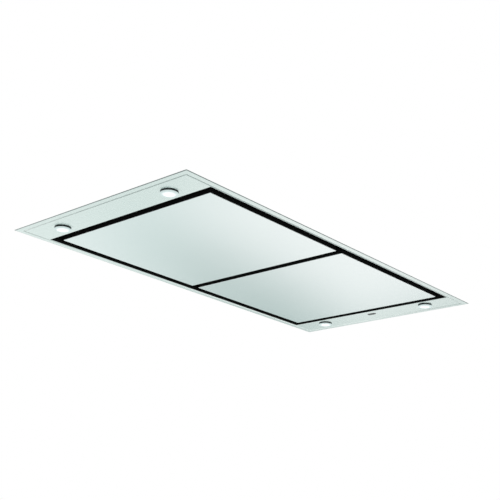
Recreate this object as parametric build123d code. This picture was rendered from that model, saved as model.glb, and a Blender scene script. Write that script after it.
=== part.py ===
"""Ceiling range hood that draws air in around two suction panels.

Everything is modelled upwards from the visible lower face of the hood, in millimetres.
export() then drops the whole hood so that the origin is the centre of the suspension holes,
in the top faces of the two hanger rails.  X runs along the hood, Y across it, Z up.
"""
from build123d import *
import os
from math import acos, cos, degrees, radians, sin

# ---- face frame: the stainless part that shows below the ceiling
FRAME_LENGTH = 1200.0
FRAME_WIDTH = 600.0
FRAME_SHEET = 1.2
BORDER = 19.0            # outer border, bent up a little so that its edge meets the ceiling
BORDER_RISE = 1.2
END_STRIP = 97.0         # outer edge to opening at the two ends, where the lamps are
UPSTAND = 16.0           # folded wall around the opening
LINER_SHEET = 0.8        # black liner inside the upstand
LINER_TOP = 40.0
LINER_LIFT = 0.4         # the liner's lower edge stays just inside the opening

# ---- casing above the ceiling
CASING_SHEET = 1.0
ROOF_TOP = 130.0         # lower casing
DECK_BOTTOM = 90.0       # filter deck
FOOT = 12.0              # width of the folded flanges
BULKHEAD_FOOT = 8.0
DECK_LIP = 11.0
GASKET_INSET = 0.5       # gasket's edge, in from the frame's edge
GASKET_WIDTH = 12.0
GASKET_STAND = 1.0       # gasket proud of the border's edge

# ---- suction panels
PERIMETER_SLOT = 22.0
MIDDLE_SLOT = 23.5
SKIN = 1.0
PANEL_TOP = 18.0
BACKING_SHEET = 0.8
BACKING_INSET = 1.0      # the black backing stands this far inside the skin's edge

# ---- panel hinges
HINGE_INBOARD = 12.0     # pin centre, inboard of the panel's outer end
HINGE_ABOVE = 11.0       # pin centre, above the panel's top
HINGE_FROM_SIDE = 76.0   # pin middle, in from the panel's long edge
PIN_R = 3.0
RUNNING_GAP = 0.05
EYE_R = 7.0              # rounded end of the bracket's ears
LUG_R = 6.0
LUG_WIDTH = 8.0
LUG_SIDE_GAP = 0.3
EAR = 2.5
LUG_BASE_LENGTH = 40.0
LUG_BASE_WIDTH = 24.0
LUG_BASE_SHEET = 2.5
BRACKET_LENGTH = 30.0
BRACKET_WIDTH = 46.0
BRACKET_PLATE = 2.0
PIN_HEAD_R = 4.5
PIN_HEAD = 1.2

# ---- centre beam and magnets
BEAM_HALF = 45.0
BEAM_BOTTOM = 30.0
PANEL_MAGNET_LENGTH = 40.0
PANEL_MAGNET_WIDTH = 24.0
PANEL_MAGNET_X = 30.0
PANEL_MAGNET_Y = 150.0
MAGNET_GAP = 0.3
FILTER_MAGNET_LENGTH = 24.0
FILTER_MAGNET_WIDTH = 8.0
FILTER_MAGNET = 2.0
FILTER_MAGNET_Y = 120.0

# ---- grease filters
FILTER_LENGTH = 330.0
FILTER_WIDTH = 400.0
FILTER_THICK = 10.0
FILTER_SHEET = 0.8
FILTER_RIM = 12.0
DECK_LEDGE = 7.0         # deck overlap on the filter's rim
MESH_SHEET = 1.2
MESH_HOLE = 17.0
MESH_BAR = 9.0
PEG_INBOARD = 3.0
PEG_EAR = 2.0
PEG_EAR_HALF = 6.0
PEG_EAR_GAP = 0.5
PEG_END = 1.0
TAB_WIDTH = 60.0
TAB_DROP = 14.0
TAB_SHEET = 1.5
TAB_FOOT = 8.0

# ---- motor housing on the roof
HOUSING_X = 240.0        # half sizes
HOUSING_Y = 220.0
HOUSING_ROOM = 10.0      # above the fan's screws
HOUSING_FLANGE = 15.0
COVER_SHEET = 1.2
COVER_LIP = 8.0
COVER_GAP = 0.3

# ---- fan
FAN_Y = -30.0
SCROLL_BOTTOM = 140.0
SCROLL_TOP = 290.0
SCROLL_WALL = 2.0
SCROLL_R = 112.0         # radius at the tongue
SCROLL_STEP = 20.0       # growth in each quarter turn
TONGUE_ANGLE = 60.0
INLET_R = 81.0
INLET_SHEET = 1.5
INLET_FLANGE = 30.0
INLET_REACH = 10.0       # how far the inlet ring stands into the scroll
INLET_HOLE_GAP = 0.5
PADS = 4                 # rubber feet under the scroll
PAD_R = 8.0
PAD_CIRCLE_R = 98.0
WHEEL_R = 100.0
WHEEL_INNER_R = 84.0
WHEEL_BOTTOM = 155.0
WHEEL_TOP = 265.0
WHEEL_RING = 3.0
BLADES = 30
BLADE = 1.4
BLADE_STAGGER = 35.0
BLADE_MARGIN = 1.0
CUP_R = 52.0
CUP_WALL = 2.0
CUP_FLOOR = 188.0
HUB_R = 10.0
HUB_LENGTH = 14.0
SHAFT_R = 4.0
SHAFT_REACH = 33.0       # shaft length inside the motor
MOTOR_R = 42.0
MOTOR_BOTTOM = 205.0
MOTOR_NECK_R = 30.0
MOTOR_NECK = 6.0
MOTOR_EDGE = 4.0
MOTOR_HOLE_R = 55.0
GROMMET = 3.0            # rubber grommets under the motor bracket
GROMMET_R = 9.0
MOTOR_PLATE = 2.0
MOTOR_PLATE_R = 35.0
ARM_WIDTH = 22.0
ARM_CIRCLE_R = 72.0
ARM_SCREW_R = 2.5
ARMS = 3

# ---- duct collar and damper
COLLAR_R = 75.0
COLLAR_SHEET = 1.0
COLLAR_LENGTH = 52.0
COLLAR_FLANGE_R = 83.5
COLLAR_FLANGE = 1.2
COLLAR_SCREW_ANGLE = 45.0
COLLAR_SCREW_EDGE = 0.3  # flange outside the screw heads
DAMPER_OUT = 12.0        # damper pin, out from the housing's wall
DAMPER_PIN_R = 2.0
FLAP_SHEET = 1.2
FLAP_GAP = 0.8
KNUCKLE_R = 3.4
KNUCKLE_CLEAR = 0.5
KNUCKLE_INNER = 18.0     # heights where one flap's knuckles hand over to the other's
KNUCKLE_OUTER = 42.0
KNUCKLE_LAST = 65.0

# ---- hanger rails
RAIL_FROM_END = 60.0     # rail's middle, in from the frame's end
RAIL_WIDTH = 40.0
RAIL_HEIGHT = 40.0
RAIL_SHEET = 2.0
RAIL_FROM_SIDE = 40.0    # rail's end, in from the frame's long edge
ROD_FROM_RAIL_END = 20.0
ROD_HOLE_R = 4.5

# ---- lamps
LAMP_FROM_END = 62.0
LAMP_FROM_SIDE = 114.0
LAMP_HOLE_R = 23.0
TRIM_R = 29.0
TRIM_PROUD = 1.5
TRIM_SLEEVE = 14.0
TRIM_WALL = 1.4
LAMP_R = 20.5
LAMP_PROUD = 5.5
LAMP_GAP = 0.1
LAMP_WALL = 2.1
LENS_BULGE = 1.6
LENS_THICK = 3.0
LENS_LEDGE = 1.2
LENS_RECESS = 0.4        # the lens's edge, up from the lamp's front rim
LAMP_FLOOR = 10.0
LAMP_TOP = 44.0
FIN = 1.5
FIN_PITCH = 6.0
FIN_CORE_R = 9.0

# ---- infrared receiver
RECEIVER_FROM_END = 70.0
RECEIVER_LONG = 26.0
RECEIVER_WIDE = 9.0
RECEIVER_RIM = 1.5
RECEIVER_PROUD = 0.8
RECEIVER_DEEP = 12.0

# ---- control box on the roof
BOX_GAP = 7.0            # from the motor housing's flange
BOX_LENGTH = 150.0
BOX_HALF_WIDTH = 90.0
BOX_HEIGHT = 42.0
BOX_WALL = 2.0
BOX_COVER = 3.0
GLAND_UP = 20.0
GLAND_SIDE_GAP = 1.0     # from its nut to the box's end wall
GLAND_BORE_R = 4.5
GLAND_THREAD_R = 6.0
GLAND_NUT_R = 10.0
GLAND_HEAD_R = 9.0
GLAND_NUT = 6.0
GLAND_HEAD = 14.0
TERMINAL_SIZE = 45.0
TERMINAL_HEIGHT = 18.0
DRIVER_LENGTH = 110.0
DRIVER_WIDTH = 50.0
DRIVER_HEIGHT = 25.0
CAPACITOR_R = 15.0
CAPACITOR_LENGTH = 60.0
BOX_ROOM = 15.0          # space kept around the parts in the control box

# ---- sheet metal screws
SCREW_R = 2.0
SCREW_HEAD_R = 3.4
SCREW_HEAD = 2.2
SCREW_EDGE = 1.0
SCREW_INSET = 90.0       # from the corners of the motor housing
RAIL_SCREW_GAP = 50.0    # from the suspension hole to the nearest screw
ARM_HEAD_R = 4.5
ARM_HEAD = 3.0

# ---- places that follow from the sizes above
FOLD_X = FRAME_LENGTH / 2 - BORDER
FOLD_Y = FRAME_WIDTH / 2 - BORDER
OPENING_X = FRAME_LENGTH / 2 - END_STRIP
OPENING_Y = FOLD_Y - CASING_SHEET - FRAME_SHEET - LINER_SHEET
UPSTAND_X = OPENING_X + LINER_SHEET + FRAME_SHEET
UPSTAND_Y = OPENING_Y + LINER_SHEET + FRAME_SHEET
ROOF_BOTTOM = ROOF_TOP - CASING_SHEET
DECK_TOP = DECK_BOTTOM + CASING_SHEET
RAIL_TOP = ROOF_TOP + RAIL_HEIGHT
GASKET_TOP = BORDER_RISE + FRAME_SHEET + GASKET_STAND
PANEL_END = OPENING_X - PERIMETER_SLOT
PANEL_SIDE = OPENING_Y - PERIMETER_SLOT
PANEL_INNER = MIDDLE_SLOT / 2
HINGE_X = PANEL_END - HINGE_INBOARD
HINGE_Y = PANEL_SIDE - HINGE_FROM_SIDE
HINGE_Z = PANEL_TOP + HINGE_ABOVE
EAR_INNER = LUG_WIDTH / 2 + LUG_SIDE_GAP
FILTER_X = (BEAM_HALF + FOOT + HINGE_X - BRACKET_LENGTH / 2) / 2    # midway from beam to hinges
FILTER_TOP = DECK_BOTTOM - FILTER_MAGNET - MAGNET_GAP
FILTER_BOTTOM = FILTER_TOP - FILTER_THICK
FILTER_INNER_END = FILTER_X - FILTER_LENGTH / 2
FILTER_OUTER_END = FILTER_X + FILTER_LENGTH / 2
FILTER_MAGNET_X = FILTER_INNER_END + DECK_LEDGE - FILTER_MAGNET_WIDTH / 2
PEG_X = FILTER_OUTER_END - PEG_INBOARD
PEG_Z = (FILTER_TOP + FILTER_BOTTOM) / 2
TONGUE_X = SCROLL_R * cos(radians(TONGUE_ANGLE)) - SCROLL_STEP / 2
OUTLET_X = SCROLL_R + 3 * SCROLL_STEP + SCROLL_STEP / 2
COLLAR_X = (TONGUE_X + OUTLET_X) / 2
COLLAR_Z = (SCROLL_BOTTOM + SCROLL_TOP) / 2
COLLAR_SCREW_R = COLLAR_FLANGE_R - COLLAR_SCREW_EDGE - SCREW_HEAD_R
COLLAR_SCREW_X = COLLAR_SCREW_R * cos(radians(COLLAR_SCREW_ANGLE))
COLLAR_SCREW_Z = COLLAR_SCREW_R * sin(radians(COLLAR_SCREW_ANGLE))
DAMPER_Y = HOUSING_Y + DAMPER_OUT
MOTOR_TOP = SCROLL_TOP + GROMMET
HOUSING_TOP = MOTOR_TOP + MOTOR_PLATE + ARM_HEAD + HOUSING_ROOM
RAIL_X = FRAME_LENGTH / 2 - RAIL_FROM_END
RAIL_HALF_LENGTH = FRAME_WIDTH / 2 - RAIL_FROM_SIDE
ROD_Y = RAIL_HALF_LENGTH - ROD_FROM_RAIL_END
RAIL_SCREW_Y = ROD_Y - RAIL_SCREW_GAP
LAMP_X = FRAME_LENGTH / 2 - LAMP_FROM_END
LAMP_Y = FRAME_WIDTH / 2 - LAMP_FROM_SIDE
RECEIVER_X = FRAME_LENGTH / 2 - RECEIVER_FROM_END
BOX_X = HOUSING_X + HOUSING_FLANGE + BOX_GAP
BOX_FLOOR = ROOF_TOP + BOX_WALL
BOX_END = BOX_X + BOX_LENGTH
GLAND_X = BOX_END - BOX_WALL - GLAND_SIDE_GAP - GLAND_NUT_R
GLAND_Z = ROOF_TOP + GLAND_UP
SIDES = (("left", -1), ("right", 1))
CORNERS = [(x, y) for x in (-1, 1) for y in (-1, 1)]
FAN = Pos(0, FAN_Y, 0)


# ---------------------------------------------------------------- helpers
def export(name, *solids):
    """Write one piece, or one group of separate solids, moved down to the origin's height."""
    shape = solids[0] if len(solids) == 1 else Compound(children=list(solids))
    export_step(Pos(0, 0, -RAIL_TOP) * shape, f"parts/{name}.step")


def block(x0, x1, y0, y1, z0, z1):
    """Box between two corners, given in any order."""
    centre = Pos((x0 + x1) / 2, (y0 + y1) / 2, (z0 + z1) / 2)
    return centre * Box(abs(x1 - x0), abs(y1 - y0), abs(z1 - z0))


def plate(half_x, half_y, z0, z1):
    """Rectangular plate centred on the Z axis."""
    return block(-half_x, half_x, -half_y, half_y, z0, z1)


def walls(half_x, half_y, wall, z0, z1):
    """Four upright walls with these outer half sizes."""
    return plate(half_x, half_y, z0, z1) - plate(half_x - wall, half_y - wall, z0, z1)


def rod(x, y, z0, z1, r):
    """Upright cylinder."""
    return Pos(x, y, (z0 + z1) / 2) * Cylinder(r, abs(z1 - z0))


def pipe(x, y, z0, z1, r_out, r_in):
    """Upright tube or ring."""
    return rod(x, y, z0, z1, r_out) - rod(x, y, z0, z1, r_in)


def rod_y(x, z, y0, y1, r):
    """Cylinder along Y."""
    return Pos(x, (y0 + y1) / 2, z) * Rot(90, 0, 0) * Cylinder(r, abs(y1 - y0))


def turned(points):
    """Solid of revolution about Z from (radius, height) points."""
    outline = make_face(Polyline([(r, 0, z) for r, z in points], close=True))
    return revolve(outline, Axis.Z)


# ---------------------------------------------------------------- screws
def screw_seats():
    """Each sheet metal screw's seat, local Z outwards, with the thickness that it holds."""
    beside = HOUSING_FLANGE / 2
    on_flange = ROOF_TOP + CASING_SHEET
    seats = []
    for x, y in CORNERS:
        corner_x, corner_y = HOUSING_X - SCREW_INSET, HOUSING_Y - SCREW_INSET
        seats.append((Pos(x * corner_x, y * (HOUSING_Y + beside), on_flange), 2 * CASING_SHEET))
        seats.append((Pos(x * (HOUSING_X + beside), y * corner_y, on_flange), 2 * CASING_SHEET))
        cover_x = HOUSING_X - FOOT / 2
        cover = Pos(x * cover_x, y * corner_y, HOUSING_TOP + COVER_SHEET)
        seats.append((cover, COVER_SHEET + CASING_SHEET))
        collar = Pos(COLLAR_X + x * COLLAR_SCREW_X, HOUSING_Y + COLLAR_FLANGE,
                     COLLAR_Z + y * COLLAR_SCREW_Z)
        seats.append((collar * Rot(-90, 0, 0), COLLAR_FLANGE + CASING_SHEET))
    for x in (-1, 1):
        for y in (-1, 0, 1):
            rail = Pos(x * RAIL_X, y * RAIL_SCREW_Y, ROOF_TOP + RAIL_SHEET)
            seats.append((rail, RAIL_SHEET + CASING_SHEET))
    return seats


def screw_shank(hold):
    return Pos(0, 0, -hold / 2) * Cylinder(SCREW_R, hold)


def screw_holes():
    """Every screw's shank, to cut its hole from the sheets."""
    return [seat * screw_shank(hold) for seat, hold in screw_seats()]


def screw(hold):
    """Pan head with a plain shank through the sheets that it holds."""
    head = [(0, 0), (SCREW_HEAD_R, 0), (SCREW_HEAD_R, SCREW_EDGE), (SCREW_R, SCREW_HEAD), (0, SCREW_HEAD)]
    return turned(head) + screw_shank(hold)


def arm_places():
    """Screws of the motor bracket, one at the end of each arm."""
    return [FAN * PolarLocations(ARM_CIRCLE_R, ARMS, start_angle=90).locations[i] for i in range(ARMS)]


def make_screws():
    seats = screw_seats()
    screws = [seat * screw(hold) for seat, hold in seats]
    stack = GROMMET + MOTOR_PLATE
    for place in arm_places():
        shank = Pos(0, 0, SCROLL_TOP + stack / 2) * Cylinder(ARM_SCREW_R, stack)
        head = Pos(0, 0, MOTOR_TOP + MOTOR_PLATE + ARM_HEAD / 2) * Cylinder(ARM_HEAD_R, ARM_HEAD)
        screws.append(place * (shank + head))
    export("body_screws", *screws)


# ---------------------------------------------------------------- face frame
def dish(lift):
    """Everything above the frame's lower surface: flat inside the fold, rising outside it."""
    flat = Pos(0, 0, lift) * Rectangle(2 * FOLD_X, 2 * FOLD_Y)
    edge = Pos(0, 0, lift + BORDER_RISE) * Rectangle(FRAME_LENGTH, FRAME_WIDTH)
    over = plate(FRAME_LENGTH / 2, FRAME_WIDTH / 2, lift + BORDER_RISE, UPSTAND)
    return loft([flat.face(), edge.face()]) + over


def make_face_frame():
    frame = dish(0) - dish(FRAME_SHEET)
    frame += walls(UPSTAND_X, UPSTAND_Y, FRAME_SHEET, 0, UPSTAND)
    frame -= plate(UPSTAND_X - FRAME_SHEET, UPSTAND_Y - FRAME_SHEET, 0, UPSTAND)
    for x, y in CORNERS:
        frame -= rod(x * LAMP_X, y * LAMP_Y, 0, FRAME_SHEET, LAMP_HOLE_R)
    frame -= Pos(RECEIVER_X, 0, 0) * receiver_slot(0, FRAME_SHEET)
    export("face_frame", frame)


def make_gasket():
    out_x = FRAME_LENGTH / 2 - GASKET_INSET
    out_y = FRAME_WIDTH / 2 - GASKET_INSET
    export("ceiling_gasket", walls(out_x, out_y, GASKET_WIDTH, 0, GASKET_TOP) & dish(FRAME_SHEET))


def make_rim_liner():
    out_x, out_y = OPENING_X + LINER_SHEET, OPENING_Y + LINER_SHEET
    liner = walls(out_x, out_y, LINER_SHEET, LINER_LIFT, LINER_TOP)
    lip = FRAME_SHEET + LINER_SHEET
    liner += walls(out_x + FRAME_SHEET, out_y + FRAME_SHEET, lip, LINER_TOP - LINER_SHEET, LINER_TOP)
    export("rim_liner", liner)


# ---------------------------------------------------------------- casing
def make_lower_casing():
    casing = walls(FOLD_X, FOLD_Y, CASING_SHEET, FRAME_SHEET, ROOF_TOP)
    casing += plate(FOLD_X, FOLD_Y, ROOF_BOTTOM, ROOF_TOP)
    foot_x = FOLD_X - CASING_SHEET
    for side in (-1, 1):
        foot = block(side * foot_x, side * (foot_x - FOOT), -UPSTAND_Y, UPSTAND_Y,
                     FRAME_SHEET, FRAME_SHEET + CASING_SHEET)
        casing += foot
    casing -= FAN * rod(0, 0, ROOF_BOTTOM, ROOF_TOP, INLET_R + INLET_SHEET + INLET_HOLE_GAP)
    casing -= screw_holes()
    export("lower_casing", casing)


def make_bulkheads():
    """End walls of the air chamber, between it and the lamps."""
    for name, side in SIDES:
        inner, outer = side * UPSTAND_X, side * (UPSTAND_X + CASING_SHEET)
        wall = block(inner, outer, -UPSTAND_Y, UPSTAND_Y, FRAME_SHEET, ROOF_BOTTOM)
        wall += block(outer, outer + side * FOOT, -UPSTAND_Y, UPSTAND_Y,
                      ROOF_BOTTOM - CASING_SHEET, ROOF_BOTTOM)
        wall += block(outer, outer + side * BULKHEAD_FOOT, -UPSTAND_Y, UPSTAND_Y,
                      FRAME_SHEET, FRAME_SHEET + CASING_SHEET)
        export(f"bulkhead_{name}", wall)


def peg_ears(side):
    """Two ears under the deck that carry one filter's pegs."""
    ears = []
    for end in (-1, 1):
        inner = end * (FILTER_WIDTH / 2 + PEG_EAR_GAP)
        ear = block(side * PEG_X - PEG_EAR_HALF, side * PEG_X + PEG_EAR_HALF,
                    inner, inner + end * PEG_EAR, FILTER_BOTTOM, DECK_BOTTOM)
        ears.append(ear - rod_y(side * PEG_X, PEG_Z, inner, inner + end * PEG_EAR, PIN_R + RUNNING_GAP))
    return ears


def make_filter_deck():
    deck = plate(UPSTAND_X, UPSTAND_Y, DECK_BOTTOM, DECK_TOP)
    deck += walls(UPSTAND_X, UPSTAND_Y, CASING_SHEET, DECK_BOTTOM - DECK_LIP, DECK_BOTTOM)
    hole = plate(FILTER_LENGTH / 2 - DECK_LEDGE, FILTER_WIDTH / 2 - DECK_LEDGE, DECK_BOTTOM, DECK_TOP)
    for side in (-1, 1):
        deck -= Pos(side * FILTER_X, 0, 0) * hole
        deck += peg_ears(side)
    export("filter_deck", deck)


def make_centre_beam():
    """Hat section that carries the panels' magnets above the middle slot."""
    beam = plate(BEAM_HALF, OPENING_Y, BEAM_BOTTOM, DECK_BOTTOM)
    beam -= plate(BEAM_HALF - CASING_SHEET, OPENING_Y, BEAM_BOTTOM + CASING_SHEET, DECK_BOTTOM)
    for side in (-1, 1):
        beam += block(side * BEAM_HALF, side * (BEAM_HALF + FOOT), -OPENING_Y, OPENING_Y,
                      DECK_BOTTOM - CASING_SHEET, DECK_BOTTOM)
    export("centre_beam", beam)


def make_magnets():
    for_panels = [block(x * PANEL_MAGNET_X - PANEL_MAGNET_WIDTH / 2, x * PANEL_MAGNET_X + PANEL_MAGNET_WIDTH / 2,
                        y * PANEL_MAGNET_Y - PANEL_MAGNET_LENGTH / 2, y * PANEL_MAGNET_Y + PANEL_MAGNET_LENGTH / 2,
                        PANEL_TOP + MAGNET_GAP, BEAM_BOTTOM) for x, y in CORNERS]
    export("panel_magnets", *for_panels)
    half_x, half_y = FILTER_MAGNET_WIDTH / 2, FILTER_MAGNET_LENGTH / 2
    for_filters = [Pos(x * FILTER_MAGNET_X, y * FILTER_MAGNET_Y, 0)
                   * plate(half_x, half_y, DECK_BOTTOM - FILTER_MAGNET, DECK_BOTTOM) for x, y in CORNERS]
    export("filter_magnets", *for_filters)


# ---------------------------------------------------------------- suction panels
def panel_plate(side, inset, z0, z1):
    """Slab of one panel's outline, made smaller all round by inset."""
    return block(side * (PANEL_INNER + inset), side * (PANEL_END - inset),
                 inset - PANEL_SIDE, PANEL_SIDE - inset, z0, z1)


def make_panels():
    for name, side in SIDES:
        export(f"panel_skin_{name}", panel_plate(side, 0, 0, SKIN))
        backing = panel_plate(side, BACKING_INSET, SKIN, PANEL_TOP)
        backing -= panel_plate(side, BACKING_INSET + BACKING_SHEET, SKIN, PANEL_TOP - BACKING_SHEET)
        export(f"panel_backing_{name}", backing)


def hinge_lug(side, y):
    """Foot on the panel's backing with an eye around the pin."""
    x = side * HINGE_X
    foot_end = x - side * (LUG_BASE_LENGTH - LUG_R)
    lug = block(x + side * LUG_R, foot_end, y - LUG_BASE_WIDTH / 2, y + LUG_BASE_WIDTH / 2,
                PANEL_TOP, PANEL_TOP + LUG_BASE_SHEET)
    lug += block(x - LUG_R, x + LUG_R, y - LUG_WIDTH / 2, y + LUG_WIDTH / 2, PANEL_TOP, HINGE_Z)
    lug += rod_y(x, HINGE_Z, y - LUG_WIDTH / 2, y + LUG_WIDTH / 2, LUG_R)
    return lug - rod_y(x, HINGE_Z, y - LUG_WIDTH / 2, y + LUG_WIDTH / 2, PIN_R + RUNNING_GAP)


def hinge_bracket(side, y):
    """Plate under the filter deck with two ears down to the pin."""
    x = side * HINGE_X
    bracket = block(x - BRACKET_LENGTH / 2, x + BRACKET_LENGTH / 2, y - BRACKET_WIDTH / 2,
                    y + BRACKET_WIDTH / 2, DECK_BOTTOM - BRACKET_PLATE, DECK_BOTTOM)
    for end in (-1, 1):
        inner, outer = y + end * EAR_INNER, y + end * (EAR_INNER + EAR)
        bracket += block(x - EYE_R, x + EYE_R, inner, outer, HINGE_Z, DECK_BOTTOM)
        bracket += rod_y(x, HINGE_Z, inner, outer, EYE_R)
        bracket -= rod_y(x, HINGE_Z, inner, outer, PIN_R)
    return bracket


def hinge_pin(side, y):
    x, reach = side * HINGE_X, EAR_INNER + EAR
    pin = rod_y(x, HINGE_Z, y - reach, y + reach, PIN_R)
    for end in (-1, 1):
        pin += rod_y(x, HINGE_Z, y + end * reach, y + end * (reach + PIN_HEAD), PIN_HEAD_R)
    return pin


def make_hinges():
    for name, side in SIDES:
        ends = (-HINGE_Y, HINGE_Y)
        export(f"hinge_lugs_{name}", *[hinge_lug(side, y) for y in ends])
        export(f"hinge_brackets_{name}", *[hinge_bracket(side, y) for y in ends])
    export("hinge_pins", *[hinge_pin(x, y * HINGE_Y) for x, y in CORNERS])


# ---------------------------------------------------------------- grease filters
def make_filter_frame(name, side):
    """Channel frame with two pivot pegs at its outer end and a pull tab at its inner end."""
    half_x, half_y = FILTER_LENGTH / 2, FILTER_WIDTH / 2
    rim = plate(half_x, half_y, FILTER_BOTTOM, FILTER_TOP)
    rim -= plate(half_x - FILTER_SHEET, half_y - FILTER_SHEET, FILTER_BOTTOM + FILTER_SHEET,
                 FILTER_TOP - FILTER_SHEET)
    rim -= plate(half_x - FILTER_RIM, half_y - FILTER_RIM, FILTER_BOTTOM, FILTER_TOP)
    frame = Pos(side * FILTER_X, 0, 0) * rim
    peg_end = half_y + PEG_EAR_GAP + PEG_EAR + PEG_END
    for end in (-1, 1):
        frame += rod_y(side * PEG_X, PEG_Z, end * half_y, end * peg_end, PIN_R)
    tab = side * (FILTER_INNER_END + FILTER_RIM)
    tab_low = FILTER_BOTTOM - TAB_DROP
    frame += block(tab, tab - side * TAB_SHEET, -TAB_WIDTH / 2, TAB_WIDTH / 2, tab_low, FILTER_BOTTOM)
    frame += block(tab, tab - side * TAB_FOOT, -TAB_WIDTH / 2, TAB_WIDTH / 2, tab_low, tab_low + TAB_SHEET)
    export(f"filter_frame_{name}", frame)


def mesh_sheet():
    """One sheet of expanded mesh, as a plate with rows of square holes."""
    length = FILTER_LENGTH - 2 * FILTER_SHEET
    width = FILTER_WIDTH - 2 * FILTER_SHEET
    pitch = MESH_HOLE + MESH_BAR
    columns = int((length - 2 * FILTER_RIM + MESH_BAR) // pitch)
    rows = int((width - 2 * FILTER_RIM + MESH_BAR) // pitch)
    holes = [place * Rectangle(MESH_HOLE, MESH_HOLE) for place in GridLocations(pitch, pitch, columns, rows)]
    return extrude(Rectangle(length, width) - holes, MESH_SHEET)


def make_filters():
    sheet = mesh_sheet()
    low, high = FILTER_BOTTOM + FILTER_SHEET, FILTER_TOP - FILTER_SHEET - MESH_SHEET
    for name, side in SIDES:
        make_filter_frame(name, side)
        export(f"filter_mesh_{name}", *[Pos(side * FILTER_X, 0, z) * sheet for z in (low, high)])


# ---------------------------------------------------------------- motor housing
def make_motor_housing():
    housing = walls(HOUSING_X, HOUSING_Y, CASING_SHEET, ROOF_TOP, HOUSING_TOP)
    housing += walls(HOUSING_X + HOUSING_FLANGE, HOUSING_Y + HOUSING_FLANGE, HOUSING_FLANGE + CASING_SHEET,
                     ROOF_TOP, ROOF_TOP + CASING_SHEET)
    housing += walls(HOUSING_X, HOUSING_Y, FOOT, HOUSING_TOP - CASING_SHEET, HOUSING_TOP)
    housing -= rod_y(COLLAR_X, COLLAR_Z, HOUSING_Y - CASING_SHEET, HOUSING_Y, COLLAR_R - COLLAR_SHEET)
    housing -= screw_holes()
    export("motor_housing", housing)


def make_housing_cover():
    lip = COVER_GAP + COVER_SHEET
    cover = walls(HOUSING_X + lip, HOUSING_Y + lip, COVER_SHEET, HOUSING_TOP - COVER_LIP, HOUSING_TOP)
    cover += plate(HOUSING_X + lip, HOUSING_Y + lip, HOUSING_TOP, HOUSING_TOP + COVER_SHEET)
    cover -= screw_holes()
    export("housing_cover", cover)


# ---------------------------------------------------------------- fan
def scroll_outline(grow):
    """Four quarter arcs on a small square, then straight walls to the outlet."""
    half = SCROLL_STEP / 2
    tongue_x = TONGUE_X - grow
    start = degrees(acos((tongue_x + half) / (SCROLL_R + grow)))
    outlet_y = HOUSING_Y - CASING_SHEET - FAN_Y
    centres = [(-half, half), (-half, -half), (half, -half), (half, half)]
    edges = []
    for turn, centre in enumerate(centres):
        angle = start if turn == 0 else turn * 90.0
        size = (turn + 1) * 90.0 - angle
        edges.append(CenterArc(centre, SCROLL_R + grow + turn * SCROLL_STEP, angle, size))
    tip = edges[0] @ 0
    end = edges[-1] @ 1
    corners = [end, (end.X, outlet_y), (tongue_x, outlet_y), tip]
    edges += [Line(a, b) for a, b in zip(corners, corners[1:])]
    return make_face(edges)


def make_scroll():
    outer = extrude(scroll_outline(SCROLL_WALL), SCROLL_TOP - SCROLL_BOTTOM)
    inner = extrude(scroll_outline(0), SCROLL_TOP - SCROLL_BOTTOM - 2 * SCROLL_WALL)
    scroll = Pos(0, 0, SCROLL_BOTTOM) * outer - Pos(0, 0, SCROLL_BOTTOM + SCROLL_WALL) * inner
    scroll -= rod(0, 0, SCROLL_BOTTOM, SCROLL_BOTTOM + SCROLL_WALL, INLET_R + INLET_SHEET + INLET_HOLE_GAP)
    scroll -= rod(0, 0, SCROLL_TOP - SCROLL_WALL, SCROLL_TOP, MOTOR_HOLE_R)
    export("scroll_housing", FAN * scroll)


def make_inlet_ring():
    ring = pipe(0, 0, ROOF_BOTTOM - INLET_SHEET, SCROLL_BOTTOM + INLET_REACH, INLET_R + INLET_SHEET, INLET_R)
    ring += pipe(0, 0, ROOF_BOTTOM - INLET_SHEET, ROOF_BOTTOM, INLET_R + INLET_FLANGE, INLET_R)
    export("inlet_ring", FAN * ring)


def make_fan_feet():
    pads = PolarLocations(PAD_CIRCLE_R, PADS, start_angle=45).locations
    export("fan_feet", *[FAN * pad * rod(0, 0, ROOF_TOP, SCROLL_BOTTOM, PAD_R) for pad in pads])


def make_impeller():
    wheel = pipe(0, 0, WHEEL_BOTTOM, WHEEL_BOTTOM + WHEEL_RING, WHEEL_R, WHEEL_INNER_R)
    wheel += pipe(0, 0, WHEEL_TOP - WHEEL_RING, WHEEL_TOP, WHEEL_R, CUP_R - CUP_WALL)
    wheel += pipe(0, 0, CUP_FLOOR, WHEEL_TOP, CUP_R, CUP_R - CUP_WALL)
    wheel += rod(0, 0, CUP_FLOOR, CUP_FLOOR + CUP_WALL, CUP_R)
    wheel += rod(0, 0, CUP_FLOOR - HUB_LENGTH + CUP_WALL, CUP_FLOOR + CUP_WALL, HUB_R)
    wheel -= rod(0, 0, CUP_FLOOR - HUB_LENGTH, WHEEL_TOP, SHAFT_R)
    chord = (WHEEL_R - WHEEL_INNER_R - 2 * BLADE_MARGIN) / cos(radians(BLADE_STAGGER)) - BLADE
    blade = Rot(0, 0, BLADE_STAGGER) * Box(chord, BLADE, WHEEL_TOP - WHEEL_BOTTOM)
    middle = (WHEEL_R + WHEEL_INNER_R) / 2
    standing = Pos(0, 0, (WHEEL_TOP + WHEEL_BOTTOM) / 2) * blade
    wheel += [place * standing for place in PolarLocations(middle, BLADES).locations]
    export("impeller", FAN * wheel)


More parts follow.
